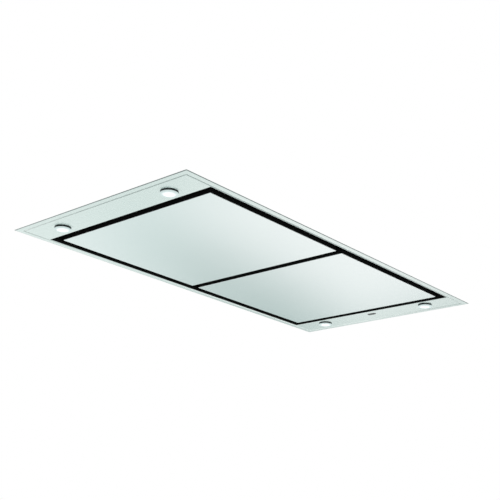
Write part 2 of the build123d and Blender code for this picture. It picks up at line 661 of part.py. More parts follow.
def make_motor():
    """Motor inside the wheel's cup, its bracket on rubber grommets, and the shaft."""
    shaft_top = MOTOR_BOTTOM + SHAFT_REACH
    bore_top = shaft_top + RUNNING_GAP
    motor = turned([(0, bore_top), (SHAFT_R + RUNNING_GAP, bore_top), (SHAFT_R + RUNNING_GAP, MOTOR_BOTTOM),
                    (MOTOR_R - MOTOR_EDGE, MOTOR_BOTTOM), (MOTOR_R, MOTOR_BOTTOM + MOTOR_EDGE),
                    (MOTOR_R, MOTOR_TOP - MOTOR_NECK), (MOTOR_NECK_R, MOTOR_TOP - MOTOR_NECK),
                    (MOTOR_NECK_R, MOTOR_TOP), (0, MOTOR_TOP)])
    export("motor", FAN * motor)
    export("motor_shaft", FAN * rod(0, 0, CUP_FLOOR - HUB_LENGTH + CUP_WALL, shaft_top, SHAFT_R))

    bracket = rod(0, FAN_Y, MOTOR_TOP, MOTOR_TOP + MOTOR_PLATE, MOTOR_PLATE_R)
    arm = block(0, ARM_CIRCLE_R, -ARM_WIDTH / 2, ARM_WIDTH / 2, MOTOR_TOP, MOTOR_TOP + MOTOR_PLATE)
    arm += rod(ARM_CIRCLE_R, 0, MOTOR_TOP, MOTOR_TOP + MOTOR_PLATE, ARM_WIDTH / 2)
    arm -= rod(ARM_CIRCLE_R, 0, MOTOR_TOP, MOTOR_TOP + MOTOR_PLATE, ARM_SCREW_R)
    for turn in range(ARMS):
        bracket += FAN * Rot(0, 0, 90 + turn * 360 / ARMS) * arm
    export("motor_bracket", bracket)
    export("motor_grommets", *[place * pipe(0, 0, SCROLL_TOP, MOTOR_TOP, GROMMET_R, ARM_SCREW_R)
                               for place in arm_places()])


# ---------------------------------------------------------------- duct collar and damper
def make_collar():
    end = HOUSING_Y + COLLAR_LENGTH
    collar = rod_y(COLLAR_X, COLLAR_Z, HOUSING_Y, end, COLLAR_R)
    collar += rod_y(COLLAR_X, COLLAR_Z, HOUSING_Y, HOUSING_Y + COLLAR_FLANGE, COLLAR_FLANGE_R)
    collar -= rod_y(COLLAR_X, COLLAR_Z, HOUSING_Y, end, COLLAR_R - COLLAR_SHEET)
    collar -= rod(COLLAR_X, DAMPER_Y, COLLAR_Z - COLLAR_R, COLLAR_Z + COLLAR_R, DAMPER_PIN_R)
    collar -= screw_holes()
    export("outlet_collar", collar)
    reach = COLLAR_R - COLLAR_SHEET / 2
    export("damper_pin", rod(COLLAR_X, DAMPER_Y, COLLAR_Z - reach, COLLAR_Z + reach, DAMPER_PIN_R))


def damper_flap(side, knuckles, others):
    """Half disc with its own knuckles on the pin, cut clear of the other flap's knuckles."""
    disc = Rot(90, 0, 0) * Cylinder(COLLAR_R - COLLAR_SHEET - FLAP_GAP, FLAP_SHEET)
    flap = disc & block(side * (DAMPER_PIN_R + KNUCKLE_CLEAR), side * COLLAR_R, -COLLAR_R, COLLAR_R,
                        -COLLAR_R, COLLAR_R)
    for z0, z1 in others:
        flap -= block(0, side * (KNUCKLE_R + KNUCKLE_CLEAR), -KNUCKLE_R, KNUCKLE_R,
                      z0 - KNUCKLE_CLEAR, z1 + KNUCKLE_CLEAR)
    for z0, z1 in knuckles:
        flap += pipe(0, 0, z0, z1, KNUCKLE_R, DAMPER_PIN_R + RUNNING_GAP)
    return Pos(COLLAR_X, DAMPER_Y, COLLAR_Z) * flap


def make_damper_flaps():
    gap = KNUCKLE_CLEAR
    outer = [(-KNUCKLE_LAST, -KNUCKLE_OUTER), (-KNUCKLE_INNER, KNUCKLE_INNER), (KNUCKLE_OUTER, KNUCKLE_LAST)]
    inner = [(gap - KNUCKLE_OUTER, -KNUCKLE_INNER - gap), (KNUCKLE_INNER + gap, KNUCKLE_OUTER - gap)]
    spare = [(-COLLAR_R, -KNUCKLE_LAST), (KNUCKLE_LAST, COLLAR_R)]
    export("damper_flap_left", damper_flap(-1, outer, inner + spare))
    export("damper_flap_right", damper_flap(1, inner, outer + spare))


# ---------------------------------------------------------------- hanger rails
def make_hanger_rails():
    """Channels across the roof, open outwards, with holes for the suspension rods."""
    for name, side in SIDES:
        inner, outer = side * (RAIL_X - RAIL_WIDTH / 2), side * (RAIL_X + RAIL_WIDTH / 2)
        rail = block(inner, outer, -RAIL_HALF_LENGTH, RAIL_HALF_LENGTH, ROOF_TOP, RAIL_TOP)
        rail -= block(inner + side * RAIL_SHEET, outer, -RAIL_HALF_LENGTH, RAIL_HALF_LENGTH,
                      ROOF_TOP + RAIL_SHEET, RAIL_TOP - RAIL_SHEET)
        for y in (-ROD_Y, ROD_Y):
            rail -= rod(side * RAIL_X, y, RAIL_TOP - RAIL_SHEET, RAIL_TOP, ROD_HOLE_R)
        rail -= screw_holes()
        export(f"hanger_rail_{name}", rail)


# ---------------------------------------------------------------- lamps and receiver
def make_lamps():
    sleeve_r = LAMP_HOLE_R - LAMP_GAP
    rim_r = LAMP_R + LAMP_GAP
    trim = turned([(rim_r, -TRIM_PROUD), (TRIM_R - TRIM_PROUD, -TRIM_PROUD), (TRIM_R, 0), (sleeve_r, 0),
                   (sleeve_r, TRIM_SLEEVE), (sleeve_r - TRIM_WALL, TRIM_SLEEVE), (sleeve_r - TRIM_WALL, 0),
                   (rim_r, 0)])
    lens_r = LAMP_R - LAMP_WALL
    lens_edge = LENS_RECESS - LAMP_PROUD
    ledge = lens_edge + LENS_THICK
    body = turned([(lens_r, -LAMP_PROUD), (LAMP_R, -LAMP_PROUD), (LAMP_R, LAMP_FLOOR),
                   (sleeve_r - TRIM_WALL, LAMP_FLOOR), (sleeve_r - TRIM_WALL, TRIM_SLEEVE), (FIN_CORE_R, TRIM_SLEEVE),
                   (FIN_CORE_R, LAMP_TOP), (0, LAMP_TOP), (0, LAMP_FLOOR), (lens_r - LENS_LEDGE, LAMP_FLOOR),
                   (lens_r - LENS_LEDGE, ledge), (lens_r, ledge)])
    fins = int((LAMP_TOP - TRIM_SLEEVE) // FIN_PITCH)
    for fin in range(1, fins + 1):
        top = TRIM_SLEEVE + fin * FIN_PITCH
        body += rod(0, 0, top - FIN, top, LAMP_R)
    lens_r -= LAMP_GAP
    dome_r = (lens_r ** 2 + LENS_BULGE ** 2) / (2 * LENS_BULGE)
    lens = rod(0, 0, lens_edge - LENS_BULGE, ledge, lens_r)
    lens &= Pos(0, 0, lens_edge - LENS_BULGE + dome_r) * Sphere(dome_r)
    names = {(-1, -1): "left_front", (-1, 1): "left_back", (1, -1): "right_front", (1, 1): "right_back"}
    for (x, y), name in names.items():
        place = Pos(x * LAMP_X, y * LAMP_Y, 0)
        export(f"lamp_trim_{name}", place * trim)
        export(f"lamp_body_{name}", place * body)
        export(f"lamp_lens_{name}", place * lens)


def receiver_slot(z0, z1, rim=0.0):
    """Upright prism with the receiver window's rounded outline."""
    outline = SlotOverall(RECEIVER_LONG + 2 * rim, RECEIVER_WIDE + 2 * rim, rotation=90)
    return Pos(0, 0, z0) * extrude(outline, z1 - z0)


def make_receiver():
    window = receiver_slot(-RECEIVER_PROUD, 0, RECEIVER_RIM) + receiver_slot(0, RECEIVER_DEEP)
    export("receiver_window", Pos(RECEIVER_X, 0, 0) * window)


# ---------------------------------------------------------------- control box
def make_control_box():
    box_top = ROOF_TOP + BOX_HEIGHT
    box = block(BOX_X, BOX_END, -BOX_HALF_WIDTH, BOX_HALF_WIDTH, ROOF_TOP, box_top)
    box -= block(BOX_X + BOX_WALL, BOX_END - BOX_WALL, BOX_WALL - BOX_HALF_WIDTH, BOX_HALF_WIDTH - BOX_WALL,
                 BOX_FLOOR, box_top)
    inside = BOX_HALF_WIDTH - BOX_WALL
    box -= rod_y(GLAND_X, GLAND_Z, inside, BOX_HALF_WIDTH, GLAND_THREAD_R)
    export("control_box", box)
    cover = block(BOX_X, BOX_END, -BOX_HALF_WIDTH, BOX_HALF_WIDTH, box_top, box_top + BOX_COVER)
    export("control_box_cover", cover)

    nut_end = BOX_HALF_WIDTH + GLAND_NUT
    gland = rod_y(GLAND_X, GLAND_Z, inside, BOX_HALF_WIDTH, GLAND_THREAD_R)
    gland += rod_y(GLAND_X, GLAND_Z, inside - GLAND_NUT, inside, GLAND_NUT_R)
    gland += rod_y(GLAND_X, GLAND_Z, BOX_HALF_WIDTH, nut_end, GLAND_NUT_R)
    gland += rod_y(GLAND_X, GLAND_Z, nut_end, nut_end + GLAND_HEAD, GLAND_HEAD_R)
    gland -= rod_y(GLAND_X, GLAND_Z, inside - GLAND_NUT, nut_end + GLAND_HEAD, GLAND_BORE_R)
    export("cable_gland", gland)


def make_electrics():
    """What the control box holds, all standing on its floor."""
    far_x, far_y = BOX_END - BOX_ROOM, BOX_HALF_WIDTH - BOX_ROOM
    near_x = BOX_X + BOX_ROOM
    terminal = block(far_x - TERMINAL_SIZE, far_x, -far_y, TERMINAL_SIZE - far_y, BOX_FLOOR,
                     BOX_FLOOR + TERMINAL_HEIGHT)
    export("terminal_block", terminal)
    driver = block(near_x, near_x + DRIVER_LENGTH, far_y - DRIVER_WIDTH, far_y, BOX_FLOOR,
                   BOX_FLOOR + DRIVER_HEIGHT)
    export("lamp_driver", driver)
    export("motor_capacitor", rod_y(near_x + CAPACITOR_R, BOX_FLOOR + CAPACITOR_R, -far_y,
                                    CAPACITOR_LENGTH - far_y, CAPACITOR_R))


# ---------------------------------------------------------------- build
os.makedirs("parts", exist_ok=True)
make_face_frame()
make_gasket()
make_rim_liner()
make_lower_casing()
make_bulkheads()
make_filter_deck()
make_centre_beam()
make_magnets()
make_panels()
make_hinges()
make_filters()
make_motor_housing()
make_housing_cover()
make_scroll()
make_inlet_ring()
make_fan_feet()
make_impeller()
make_motor()
make_collar()
make_damper_flaps()
make_hanger_rails()
make_lamps()
make_receiver()
make_control_box()
make_electrics()
make_screws()
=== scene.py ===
"""Looks for a ceiling range hood that draws air in around two suction panels.

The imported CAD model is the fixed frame.  The sheet metal that shows is built here again with its
folds, pressed ribs, welds and rounded edges, and every part gets a finish made from nodes.  All
places are in metres in the CAD frame, where X runs along the hood, Y across it and Z up.
"""
import math

import bmesh
import bpy
from bpy.props import FloatProperty, FloatVectorProperty, IntProperty, PointerProperty
from bpy.types import Operator, Panel, PropertyGroup
from mathutils import Matrix, Vector


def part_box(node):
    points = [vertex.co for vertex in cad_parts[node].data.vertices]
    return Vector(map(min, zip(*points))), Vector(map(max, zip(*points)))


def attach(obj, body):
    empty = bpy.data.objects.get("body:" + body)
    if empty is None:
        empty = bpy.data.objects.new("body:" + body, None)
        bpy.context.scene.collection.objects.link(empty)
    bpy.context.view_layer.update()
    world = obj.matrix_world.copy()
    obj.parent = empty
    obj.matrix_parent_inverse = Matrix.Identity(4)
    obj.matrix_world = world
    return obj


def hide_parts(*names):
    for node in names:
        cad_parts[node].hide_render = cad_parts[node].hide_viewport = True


bl_info = {
    "name": "Ceiling range hood",
    "version": (1, 0, 0),
    "blender": (4, 5, 0),
    "location": "3D View > Sidebar > Range hood",
    "description": "Builds the sheet metal, lamps and finishes of a ceiling range hood on its CAD frame",
    "category": "Object",
}

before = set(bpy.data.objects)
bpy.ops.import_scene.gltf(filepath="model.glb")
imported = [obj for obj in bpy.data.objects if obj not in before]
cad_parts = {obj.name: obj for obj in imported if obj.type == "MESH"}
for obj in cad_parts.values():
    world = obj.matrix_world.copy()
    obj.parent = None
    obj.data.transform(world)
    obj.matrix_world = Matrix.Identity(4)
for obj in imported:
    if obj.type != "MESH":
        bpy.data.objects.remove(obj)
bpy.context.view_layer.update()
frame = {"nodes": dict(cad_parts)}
NODES = frame["nodes"]
SIDES = (("left", -1), ("right", 1))
LAMPS = ("left_front", "left_back", "right_front", "right_back")
SIGNS = ((-1, -1), (-1, 1), (1, -1), (1, 1))
WHITE = (1, 1, 1, 1)
MM = 0.001

# the camera that was fitted to the photograph: its place, and its yaw, pitch and roll in degrees
CAMERA_PLACE = (-1.8250, -1.5705, -0.9683)
CAMERA_TURNS = (41.58, 19.59, 1.92)

# rise of the frame's border and of the rounding at its edge, as the photograph has them
BORDER_RISE = 0.2 * MM
EDGE_RISE = 0.9 * MM

# sizes of the CAD pieces that their boxes don't give
FRAME_SHEET = 1.2 * MM
GASKET_REACH = 12.5 * MM        # inner edge of the gasket, in from the frame's edge
CASING_SHEET = 1.0 * MM
CASING_FOOT = 12.0 * MM         # flanges folded inwards at the sheet's open edges
COVER_SHEET = 1.2 * MM
RAIL_SHEET = 2.0 * MM
HOUSING_FLANGE = 15.0 * MM
ROD_Y = 240.0 * MM              # suspension rods, out from the middle
ROD_HOLE_R = 4.5 * MM
LAMP_HOLE_R = 23.0 * MM
LAMP_R = 20.5 * MM
LENS_R = 18.3 * MM
FIN_CORE_R = 9.0 * MM           # core of the lamps' heat sinks
INLET_HOLE_R = 83.0 * MM
DUCT_R = 75.0 * MM
ARM_CIRCLE_R = 72.0 * MM        # screws in the arms of the motor bracket
GLAND_THREAD_R = 6.0 * MM

# innermost radius of turned shapes, so that no face closes to a line
AXIS_R = 0.01 * MM


def linear(hex_colour):
    """sRGB hex value to linear red, green and blue."""
    parts = [int(hex_colour[i:i + 2], 16) / 255 for i in (0, 2, 4)]
    return tuple(c / 12.92 if c <= 0.04045 else ((c + 0.055) / 1.055) ** 2.4 for c in parts)


# kinds of settings
def length(name, text, millimetres):
    return FloatProperty(name=name, description=text, default=millimetres * MM, unit="LENGTH", precision=5)


def colour(name, text, hex_colour):
    return FloatVectorProperty(name=name, description=text, default=linear(hex_colour), size=3,
                               subtype="COLOR", min=0, max=1)


def strength(name, text, value):
    return FloatProperty(name=name, description=text, default=value, min=0)


def distance(name, text, metres):
    return FloatProperty(name=name, description=text, default=metres, unit="LENGTH")


# ---------------------------------------------------------------- settings
class HoodSizes(PropertyGroup):
    """Sizes of the details that Blender adds to the CAD shapes."""
    bend: length("Bend radius", "Outside radius of the folds in the visible stainless sheet", 1.6)
    corner: length("Corner radius", "Radius of the frame's outer corners, seen from below", 2.5)
    crease: length("Border crease", "Depth of the groove between the frame's border and its flat", 0.8)
    crease_width: length("Crease width", "Width of that groove", 4.0)
    edge_width: length("Edge width", "Width of the rounding along the frame's outer edge", 3.0)
    gasket_inset: length("Gasket inset", "Edge of the foam gasket, in from the frame's edge", 4.0)
    panel_corner: length("Panel corner", "Radius of the suction panels' corners, seen from below", 1.5)
    panel_edge: length("Panel edge", "Rounding of the suction panels' front edge", 0.7)
    casing_bend: length("Casing bend", "Outside radius of the folds in the galvanised sheet", 2.5)
    rib: length("Rib height", "Height of the ribs pressed into the galvanised sheet", 1.6)
    rib_width: length("Rib width", "Width of the pressed ribs", 16.0)
    lap: length("Corner lap", "Width of the welded laps at the upright corners", 15.0)
    weld_pitch: length("Weld pitch", "Distance between spot welds", 38.0)
    mould: length("Mould radius", "Edge radius of the moulded control box", 3.0)
    bead: length("Collar bead", "Height of the rolled bead round the duct collar", 1.0)
    strand: length("Mesh strand", "Thickness of the filter mesh strands", 1.3)
    diamond: length("Mesh diamond", "Length of one diamond of the filter mesh", 16.0)
    round_steps: IntProperty(name="Arc steps", description="Edges in a quarter circle", default=24, min=4)


class HoodColours(PropertyGroup):
    """Colours of the finishes, and of the painted shade along the frame's outer edge and inside the slots.
    """
    frame: colour("Frame", "Fine-ground stainless steel of the face frame", "E8F0ED")
    # painted shade: the darker band along the frame's outer edge, for its contact shadow against the ceiling
    edge_contact_shade: colour("Edge contact shade", "Painted contact shade along the face frame's outer edge", "A6AFAD")
    panel: colour("Panels", "Satin stainless steel of the suction panels", "EBF1F0")
    # black coat, and painted shade: the inside of the hood seen through the slots is drawn black for the
    # shade there as well
    black: colour("Black coat", "Powder coat and painted shade inside the slots", "050606")
    galvanised: colour("Galvanised", "Hot-dip galvanised sheet", "B9BEC0")
    zinc: colour("Zinc plate", "Bright zinc plating on the small steel parts", "C9CCCB")
    aluminium: colour("Aluminium", "Mill finish aluminium", "CDD0D2")
    lamp_body: colour("Lamp body", "Dark anodised aluminium of the lamps", "171A1B")
    lens: colour("Lens", "Opal polycarbonate of the lamps", "F7FBFC")
    lens_rim: colour("Lens rim", "Glow of the lenses at their rims", "9CAEAC")
    smoke: colour("Receiver", "Smoked acrylic in front of the receiver", "1D1719")
    black_plastic: colour("Black plastic", "Moulded ABS of the fan and gland", "1B1C1D")
    grey_plastic: colour("Grey plastic", "Moulded ABS of the control box", "A6A9AB")
    white_plastic: colour("White plastic", "Moulded nylon of the electrical parts", "E6E6E1")
    foam: colour("Foam", "Closed cell neoprene of the ceiling gasket", "1A1A1B")
    rubber: colour("Rubber", "Nitrile rubber of the feet and grommets", "161616")
    ferrite: colour("Ferrite", "Sintered ferrite of the magnets", "2D2D2F")
    enamel: colour("Motor", "Enamelled motor case", "4C5054")


class HoodStage(PropertyGroup):
    """Floor, ceiling, lights, reflection cards and camera."""
    floor_drop: distance("Floor drop", "Floor below the hood's face", 3.2)
    floor_size: distance("Floor", "Half size of the floor", 12.5)
    floor_tone: colour("Floor tone", "Pale floor", "EFF1F1")
    ceiling: distance("Ceiling", "Half size of the ceiling around the hood", 2.4)
    plaster: colour("Plaster", "White ceiling", "EFEFEF")
    card_light: colour("Card, light", "Graded card where the near strip reflects it", "EAF1F0")
    card_mid: colour("Card, middle", "Graded card where the middle of the panels reflects it", "C5D5D3")
    card_dark: colour("Card, dark", "Graded card where the far right of the panels reflects it", "A5B7B5")
    card_under: colour("Card, under", "Grey card under the hood", "A0A9A8")
    card_side: colour("Cards, upright", "Upright cards at the near sides", "C0C8C7")
    world: strength("World", "Strength of the surrounding soft light", 0.95)
    front: strength("Front light", "Power of the soft light in front of the hood", 12.0)
    top: strength("Top light", "Power of the soft light above the hood", 40.0)
    lamp_glow: strength("Lamp glow", "Emission of the lamp lenses", 1.0)
    lens_mm: FloatProperty(name="Lens", description="Focal length on a 36 mm sensor", default=66.82, min=1)


def sizes():
    return bpy.context.scene.hood_sizes


def colours():
    return bpy.context.scene.hood_colours


# ---------------------------------------------------------------- places read from the CAD nodes
def low(node):
    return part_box(node)[0]


def high(node):
    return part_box(node)[1]


def middle(node):
    return (low(node) + high(node)) / 2


def half(node):
    """Half the size of the node's box."""
    return (high(node) - low(node)) / 2


def housing_walls():
    """X and Y of the motor housing's upright walls."""
    return high("motor_housing").x - HOUSING_FLANGE, -low("motor_housing").y - HOUSING_FLANGE


FACE = low("face_frame").z


# ---------------------------------------------------------------- outlines and profiles
def arc(x, y, radius, start, end, steps):
    """Points of an arc, in degrees."""
    angles = [math.radians(start + (end - start) * i / steps) for i in range(steps + 1)]
    return [(x + radius * math.cos(a), y + radius * math.sin(a)) for a in angles]


def circle(radius, count):
    return arc(0, 0, radius, 0, 360, count)[:-1]


def rounded_rectangle(half_x, half_y, radius, steps):
    """Outline points of a rounded rectangle round the origin, anticlockwise."""
    x, y = half_x - radius, half_y - radius
    corners = ((x, y, 0), (-x, y, 90), (-x, -y, 180), (x, -y, 270))
    return [p for cx, cy, start in corners for p in arc(cx, cy, radius, start, start + 90, steps)]


def fold(x, y, z, bend, corner, up=1):
    """Profile rows of a fold from an upright wall at (x, y) to a flat at height z, above it if up is 1."""
    rows, steps = [], 4
    for i in range(steps + 1):
        turn = math.radians(90 * i / steps)
        inward = bend * (1 - math.cos(turn))
        rows.append((x - inward, y - inward, corner - inward, z - up * bend * (1 - math.sin(turn))))
    return rows


# ---------------------------------------------------------------- meshes
def skin(mesh, loops, ends=True, around=False):
    """Joins point loops of equal length with quads, with a face at each end or back round to the first."""
    rows = [[mesh.verts.new(p) for p in loop] for loop in loops]
    pairs = list(zip(rows, rows[1:])) + ([(rows[-1], rows[0])] if around else [])
    count = len(rows[0])
    for a, b in pairs:
        for i in range(count):
            j = (i + 1) % count
            mesh.faces.new((a[i], a[j], b[j], b[i]))
    if ends and not around:
        mesh.faces.new(list(reversed(rows[0])))
        mesh.faces.new(rows[-1])


def sheet_stack(mesh, profile, centre=(0, 0), steps=4, around=False):
    """Rounded rectangles given as (half x, half y, corner radius, height), from one end to the other."""
    # no corner is quite sharp, so that every row has as many separate points
    least = 0.05 * MM
    loops = []
    for half_x, half_y, radius, height in profile:
        outline = rounded_rectangle(half_x, half_y, max(radius, least), steps)
        loops.append([(x + centre[0], y + centre[1], height) for x, y in outline])
    skin(mesh, loops, around=around)


def lathe(mesh, profile, place, segments):
    """Turns a closed outline of (radius, height) points about the local Z axis of place."""
    loops = []
    for i in range(segments):
        turn = 2 * math.pi * i / segments
        loops.append([place @ Vector((r * math.cos(turn), r * math.sin(turn), h)) for r, h in profile])
    skin(mesh, loops, around=True)


def stack(mesh, outlines, place):
    """Outlines at rising heights, given as (points, height), in the local frame of place."""
    skin(mesh, [[place @ Vector((x, y, z)) for x, y in points] for points, z in outlines])


def flat_face(mesh, corners):
    mesh.faces.new([mesh.verts.new(corner) for corner in corners])


def level_corners(along, across, z):
    """Corners of a level rectangle between two distances along X and two along Y."""
    return [(along[i], across[j], z) for i, j in ((0, 0), (1, 0), (1, 1), (0, 1))]


def prism(mesh, outline, place, z0, z1):
    stack(mesh, ((outline, z0), (outline, z1)), place)


def at(x, y, z, face="up"):
    """Local frame at a point, whose Z axis looks up or out of the given side."""
    turns = {"up": (0, "X"), "left": (-90, "Y"), "right": (90, "Y"), "front": (90, "X"), "back": (-90, "X")}
    degrees, axis = turns[face]
    return Matrix.Translation((x, y, z)) @ Matrix.Rotation(math.radians(degrees), 4, axis)


def mesh_object(name, build):
    """New object whose mesh is filled in by build."""
    mesh = bmesh.new()
    build(mesh)
    bmesh.ops.recalc_face_normals(mesh, faces=mesh.faces)
    data = bpy.data.meshes.new(name)
    mesh.to_mesh(data)
    mesh.free()
    thing = bpy.data.objects.new(name, data)
    bpy.context.scene.collection.objects.link(thing)
    return thing


def apply_modifiers(piece):
    """Keeps the result of the piece's modifiers as its mesh."""
    graph = bpy.context.evaluated_depsgraph_get()
    result = bpy.data.meshes.new_from_object(piece.evaluated_get(graph))
    result.name = piece.name
    piece.modifiers.clear()
    piece.data = result


def combine(piece, build, operation):
    """Adds the shapes that build makes to the piece (UNION) or takes them away (DIFFERENCE)."""
    tool = mesh_object("tool", build)
    boolean = piece.modifiers.new("tool", "BOOLEAN")
    boolean.object = tool
    boolean.operation = operation
    boolean.solver = "EXACT"
    apply_modifiers(piece)
    bpy.data.objects.remove(tool)


def finish_mesh(piece, sharp):
    """Merges doubles, turns the normals outwards and smooths all but the sharp edges."""
    mesh = bmesh.new()
    mesh.from_mesh(piece.data)
    bmesh.ops.remove_doubles(mesh, verts=mesh.verts, dist=0.002 * MM)
    bmesh.ops.dissolve_degenerate(mesh, edges=mesh.edges, dist=0.001 * MM)
    bmesh.ops.recalc_face_normals(mesh, faces=mesh.faces)
    mesh.to_mesh(piece.data)
    mesh.free()
    piece.data.shade_smooth()
    piece.data.set_sharp_from_angle(angle=math.radians(sharp))
    # large faces keep their flat shading, so that only the folds beside them look round
    weighted = piece.modifiers.new("weighted", "WEIGHTED_NORMAL")
    weighted.keep_sharp = True
    apply_modifiers(piece)


def make_piece(name, build, look, body, replaced=(), joins=(), cuts=(), sharp=35.0, wire=0):
    """One piece of the hood: its mesh, finish, body and the CAD nodes that it stands for."""
    piece = mesh_object(name, build)
    if wire:
        strands = piece.modifiers.new("strands", "WIREFRAME")
        strands.thickness = wire
        strands.use_even_offset = False
        strands.use_boundary = True
        apply_modifiers(piece)
    for shapes in joins:
        combine(piece, shapes, "UNION")
    for shapes in cuts:
        combine(piece, shapes, "DIFFERENCE")
    finish_mesh(piece, sharp)
    piece.data.materials.clear()
    piece.data.materials.append(finish(look))
    if replaced:
        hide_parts(*replaced)
    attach(piece, body)
    return piece


def paint(look, *nodes):
    """Gives CAD nodes that keep their shape a finish."""
    for node in nodes:
        NODES[node].data.materials.clear()
        NODES[node].data.materials.append(finish(look))


# ---------------------------------------------------------------- finishes
def add_node(tree, kind, settings=None, links=None):
    """Adds one shader node.  settings holds attributes and socket values, links holds socket to source."""
    node = tree.nodes.new("ShaderNode" + kind)
    for key, value in (settings or {}).items():
        if isinstance(key, int) or key in node.inputs:
            node.inputs[key].default_value = value
        else:
            setattr(node, key, value)
    for socket, source in (links or {}).items():
        tree.links.new(source, node.inputs[socket])
    return node


def empty_material(name):
    """New material and its node tree, which is still empty."""
    material = bpy.data.materials.new(name)
    material.use_nodes = True
    material.node_tree.nodes.clear()
    return material, material.node_tree


def start_finish(name, metallic, roughness):
    """Material with its surface shader, and the object's own coordinates in metres."""
    material, tree = empty_material(name)
    shader = add_node(tree, "BsdfPrincipled", {"Metallic": metallic, "Roughness": roughness})
    add_node(tree, "OutputMaterial", links={"Surface": shader.outputs["BSDF"]})
    place = add_node(tree, "TexCoord").outputs["Object"]
    return material, tree, shader.inputs, place


def grain(tree, place, *size_mm, detail=2.0, harshness=0.5):
    """Noise from 0 to 1 whose patches have the given size in mm, or a size each along X, Y and Z."""
    scale = [1 / (size * MM) for size in size_mm] * (3 // len(size_mm))
    spread = add_node(tree, "Mapping", {"Scale": scale}, {"Vector": place}).outputs["Vector"]
    return add_node(tree, "TexNoise", {"Scale": 1.0, "Detail": detail, "Roughness": harshness},
                    {"Vector": spread}).outputs["Fac"]


def shades(rgb, dark, light):
    """The same colour at two brightnesses."""
    return [c * dark for c in rgb], [c * light for c in rgb]


def vary(tree, sockets, pattern, tones=None, span=(0.3, 0.7), gloss=None, relief=None, tinted="Base Color"):
    """Lets a pattern steer a surface.

    The colour runs between the two tones over the span, and the roughness between the two values of gloss.
    relief is the strength of the bumps and their depth in mm.
    """
    if tones:
        ramp = add_node(tree, "ValToRGB", links={"Fac": pattern})
        for element, rgb, position in zip(ramp.color_ramp.elements, tones, span):
            element.color = (*(min(1.0, c) for c in rgb), 1)
            element.position = position
        tree.links.new(ramp.outputs["Color"], sockets[tinted])
    if gloss:
        reach = {"From Min": 0.25, "From Max": 0.75, "To Min": gloss[0], "To Max": gloss[1]}
        rough = add_node(tree, "MapRange", reach, {"Value": pattern})
        tree.links.new(rough.outputs["Result"], sockets["Roughness"])
    if relief:
        bumps = add_node(tree, "Bump", {"Strength": relief[0], "Distance": relief[1] * MM},
                         {"Height": pattern})
        tree.links.new(bumps.outputs["Normal"], sockets["Normal"])


def from_point(tree, place, x, y):
    """How far a spot lies out from (x, y), or from its mirror image in that quarter of the hood."""
    folded = add_node(tree, "VectorMath", {"operation": "ABSOLUTE"}, {0: place}).outputs[0]
    return add_node(tree, "VectorMath", {"operation": "SUBTRACT", 1: (x, y, 0)}, {0: folded}).outputs[0]


def ground_stainless(name, rgb, line_mm, contrast, gloss):
    """304 stainless ground along X: fine straight lines, soft stretched reflections, faint cloudiness."""
    material, tree, sockets, place = start_finish(name, 1.0, gloss[0])
    lines = grain(tree, place, 120, line_mm, line_mm, harshness=0.6)
    # cloudiness about 160 mm across, from handling and cleaning
    cloud = grain(tree, place, 160)
    tint, smear = [add_node(tree, "Mix", {"Factor": share}, {"A": lines, "B": cloud}).outputs["Result"]
                   for share in (0.4, 0.3)]
    vary(tree, sockets, tint, shades(rgb, 1 - contrast, 1 + contrast))
    vary(tree, sockets, smear, gloss=gloss)
    vary(tree, sockets, lines, relief=(0.006, 0.02))
    return material, tree, sockets, place


def frame_steel():
    """Fine-ground 304 stainless: nearly matt, with faint lines along X and a darker outer edge, which is
    painted contact shade against the ceiling.
    """
    # 120 grit leaves lines about 0.15 mm apart, drawn at 1.8 mm so that they show
    material, tree, sockets, place = ground_stainless(
        "fine_ground_stainless_steel", colours().frame, 1.8, 0.01, (0.25, 0.29))
    # painted shade: a darker band along the outer edge, as wide as its rounding, for the contact shadow
    # where the frame meets the ceiling
    outer, band = high("face_frame"), sizes().edge_width
    inside = from_point(tree, place, outer.x - band, outer.y - band)
    parts = add_node(tree, "SeparateXYZ", links={0: inside}).outputs
    out = add_node(tree, "Math", {"operation": "MAXIMUM"}, {0: parts["X"], 1: parts["Y"]}).outputs[0]
    share = add_node(tree, "MapRange", {"From Max": band / 3}, {"Value": out}).outputs["Result"]
    steel = add_node(tree, "Mix", {"data_type": "RGBA", 7: (*colours().edge_contact_shade, 1)},
                     {"Factor": share, 6: sockets["Base Color"].links[0].from_socket}).outputs[2]
    tree.links.new(steel, sockets["Base Color"])
    return material


def panel_steel():
    """Satin 304 stainless: soft reflections stretched across very fine lines along X."""
    # 180 grit leaves lines about 0.1 mm apart, drawn at 1.4 mm so that they show
    return ground_stainless("satin_ground_stainless_steel", colours().panel, 1.4, 0.008, (0.20, 0.24))[0]


def galvanised_sheet():
    """Hot-dip galvanised sheet: grey zinc crystals of slightly mixed tone and gloss."""
    material, tree, sockets, place = start_finish("galvanised_steel_sheet", 1.0, 0.45)
    # spangle crystals about 9 mm across, with feathers about 1.5 mm wide inside them
    crystal = add_node(tree, "TexVoronoi", {"Scale": 1 / (9 * MM)}, {"Vector": place})
    shade = add_node(tree, "RGBToBW", links={"Color": crystal.outputs["Color"]}).outputs["Val"]
    feather = add_node(tree, "Mix", {"Factor": 0.35},
                       {"A": shade, "B": grain(tree, place, 1.5, detail=3.0)}).outputs["Result"]
    # storage clouds about 120 mm across
    cloud = add_node(tree, "Mix", {"Factor": 0.35},
                     {"A": feather, "B": grain(tree, place, 120)}).outputs["Result"]
    vary(tree, sockets, cloud, shades(colours().galvanised, 0.90, 1.05))
    vary(tree, sockets, feather, gloss=(0.34, 0.50), relief=(0.15, 0.05))
    return material


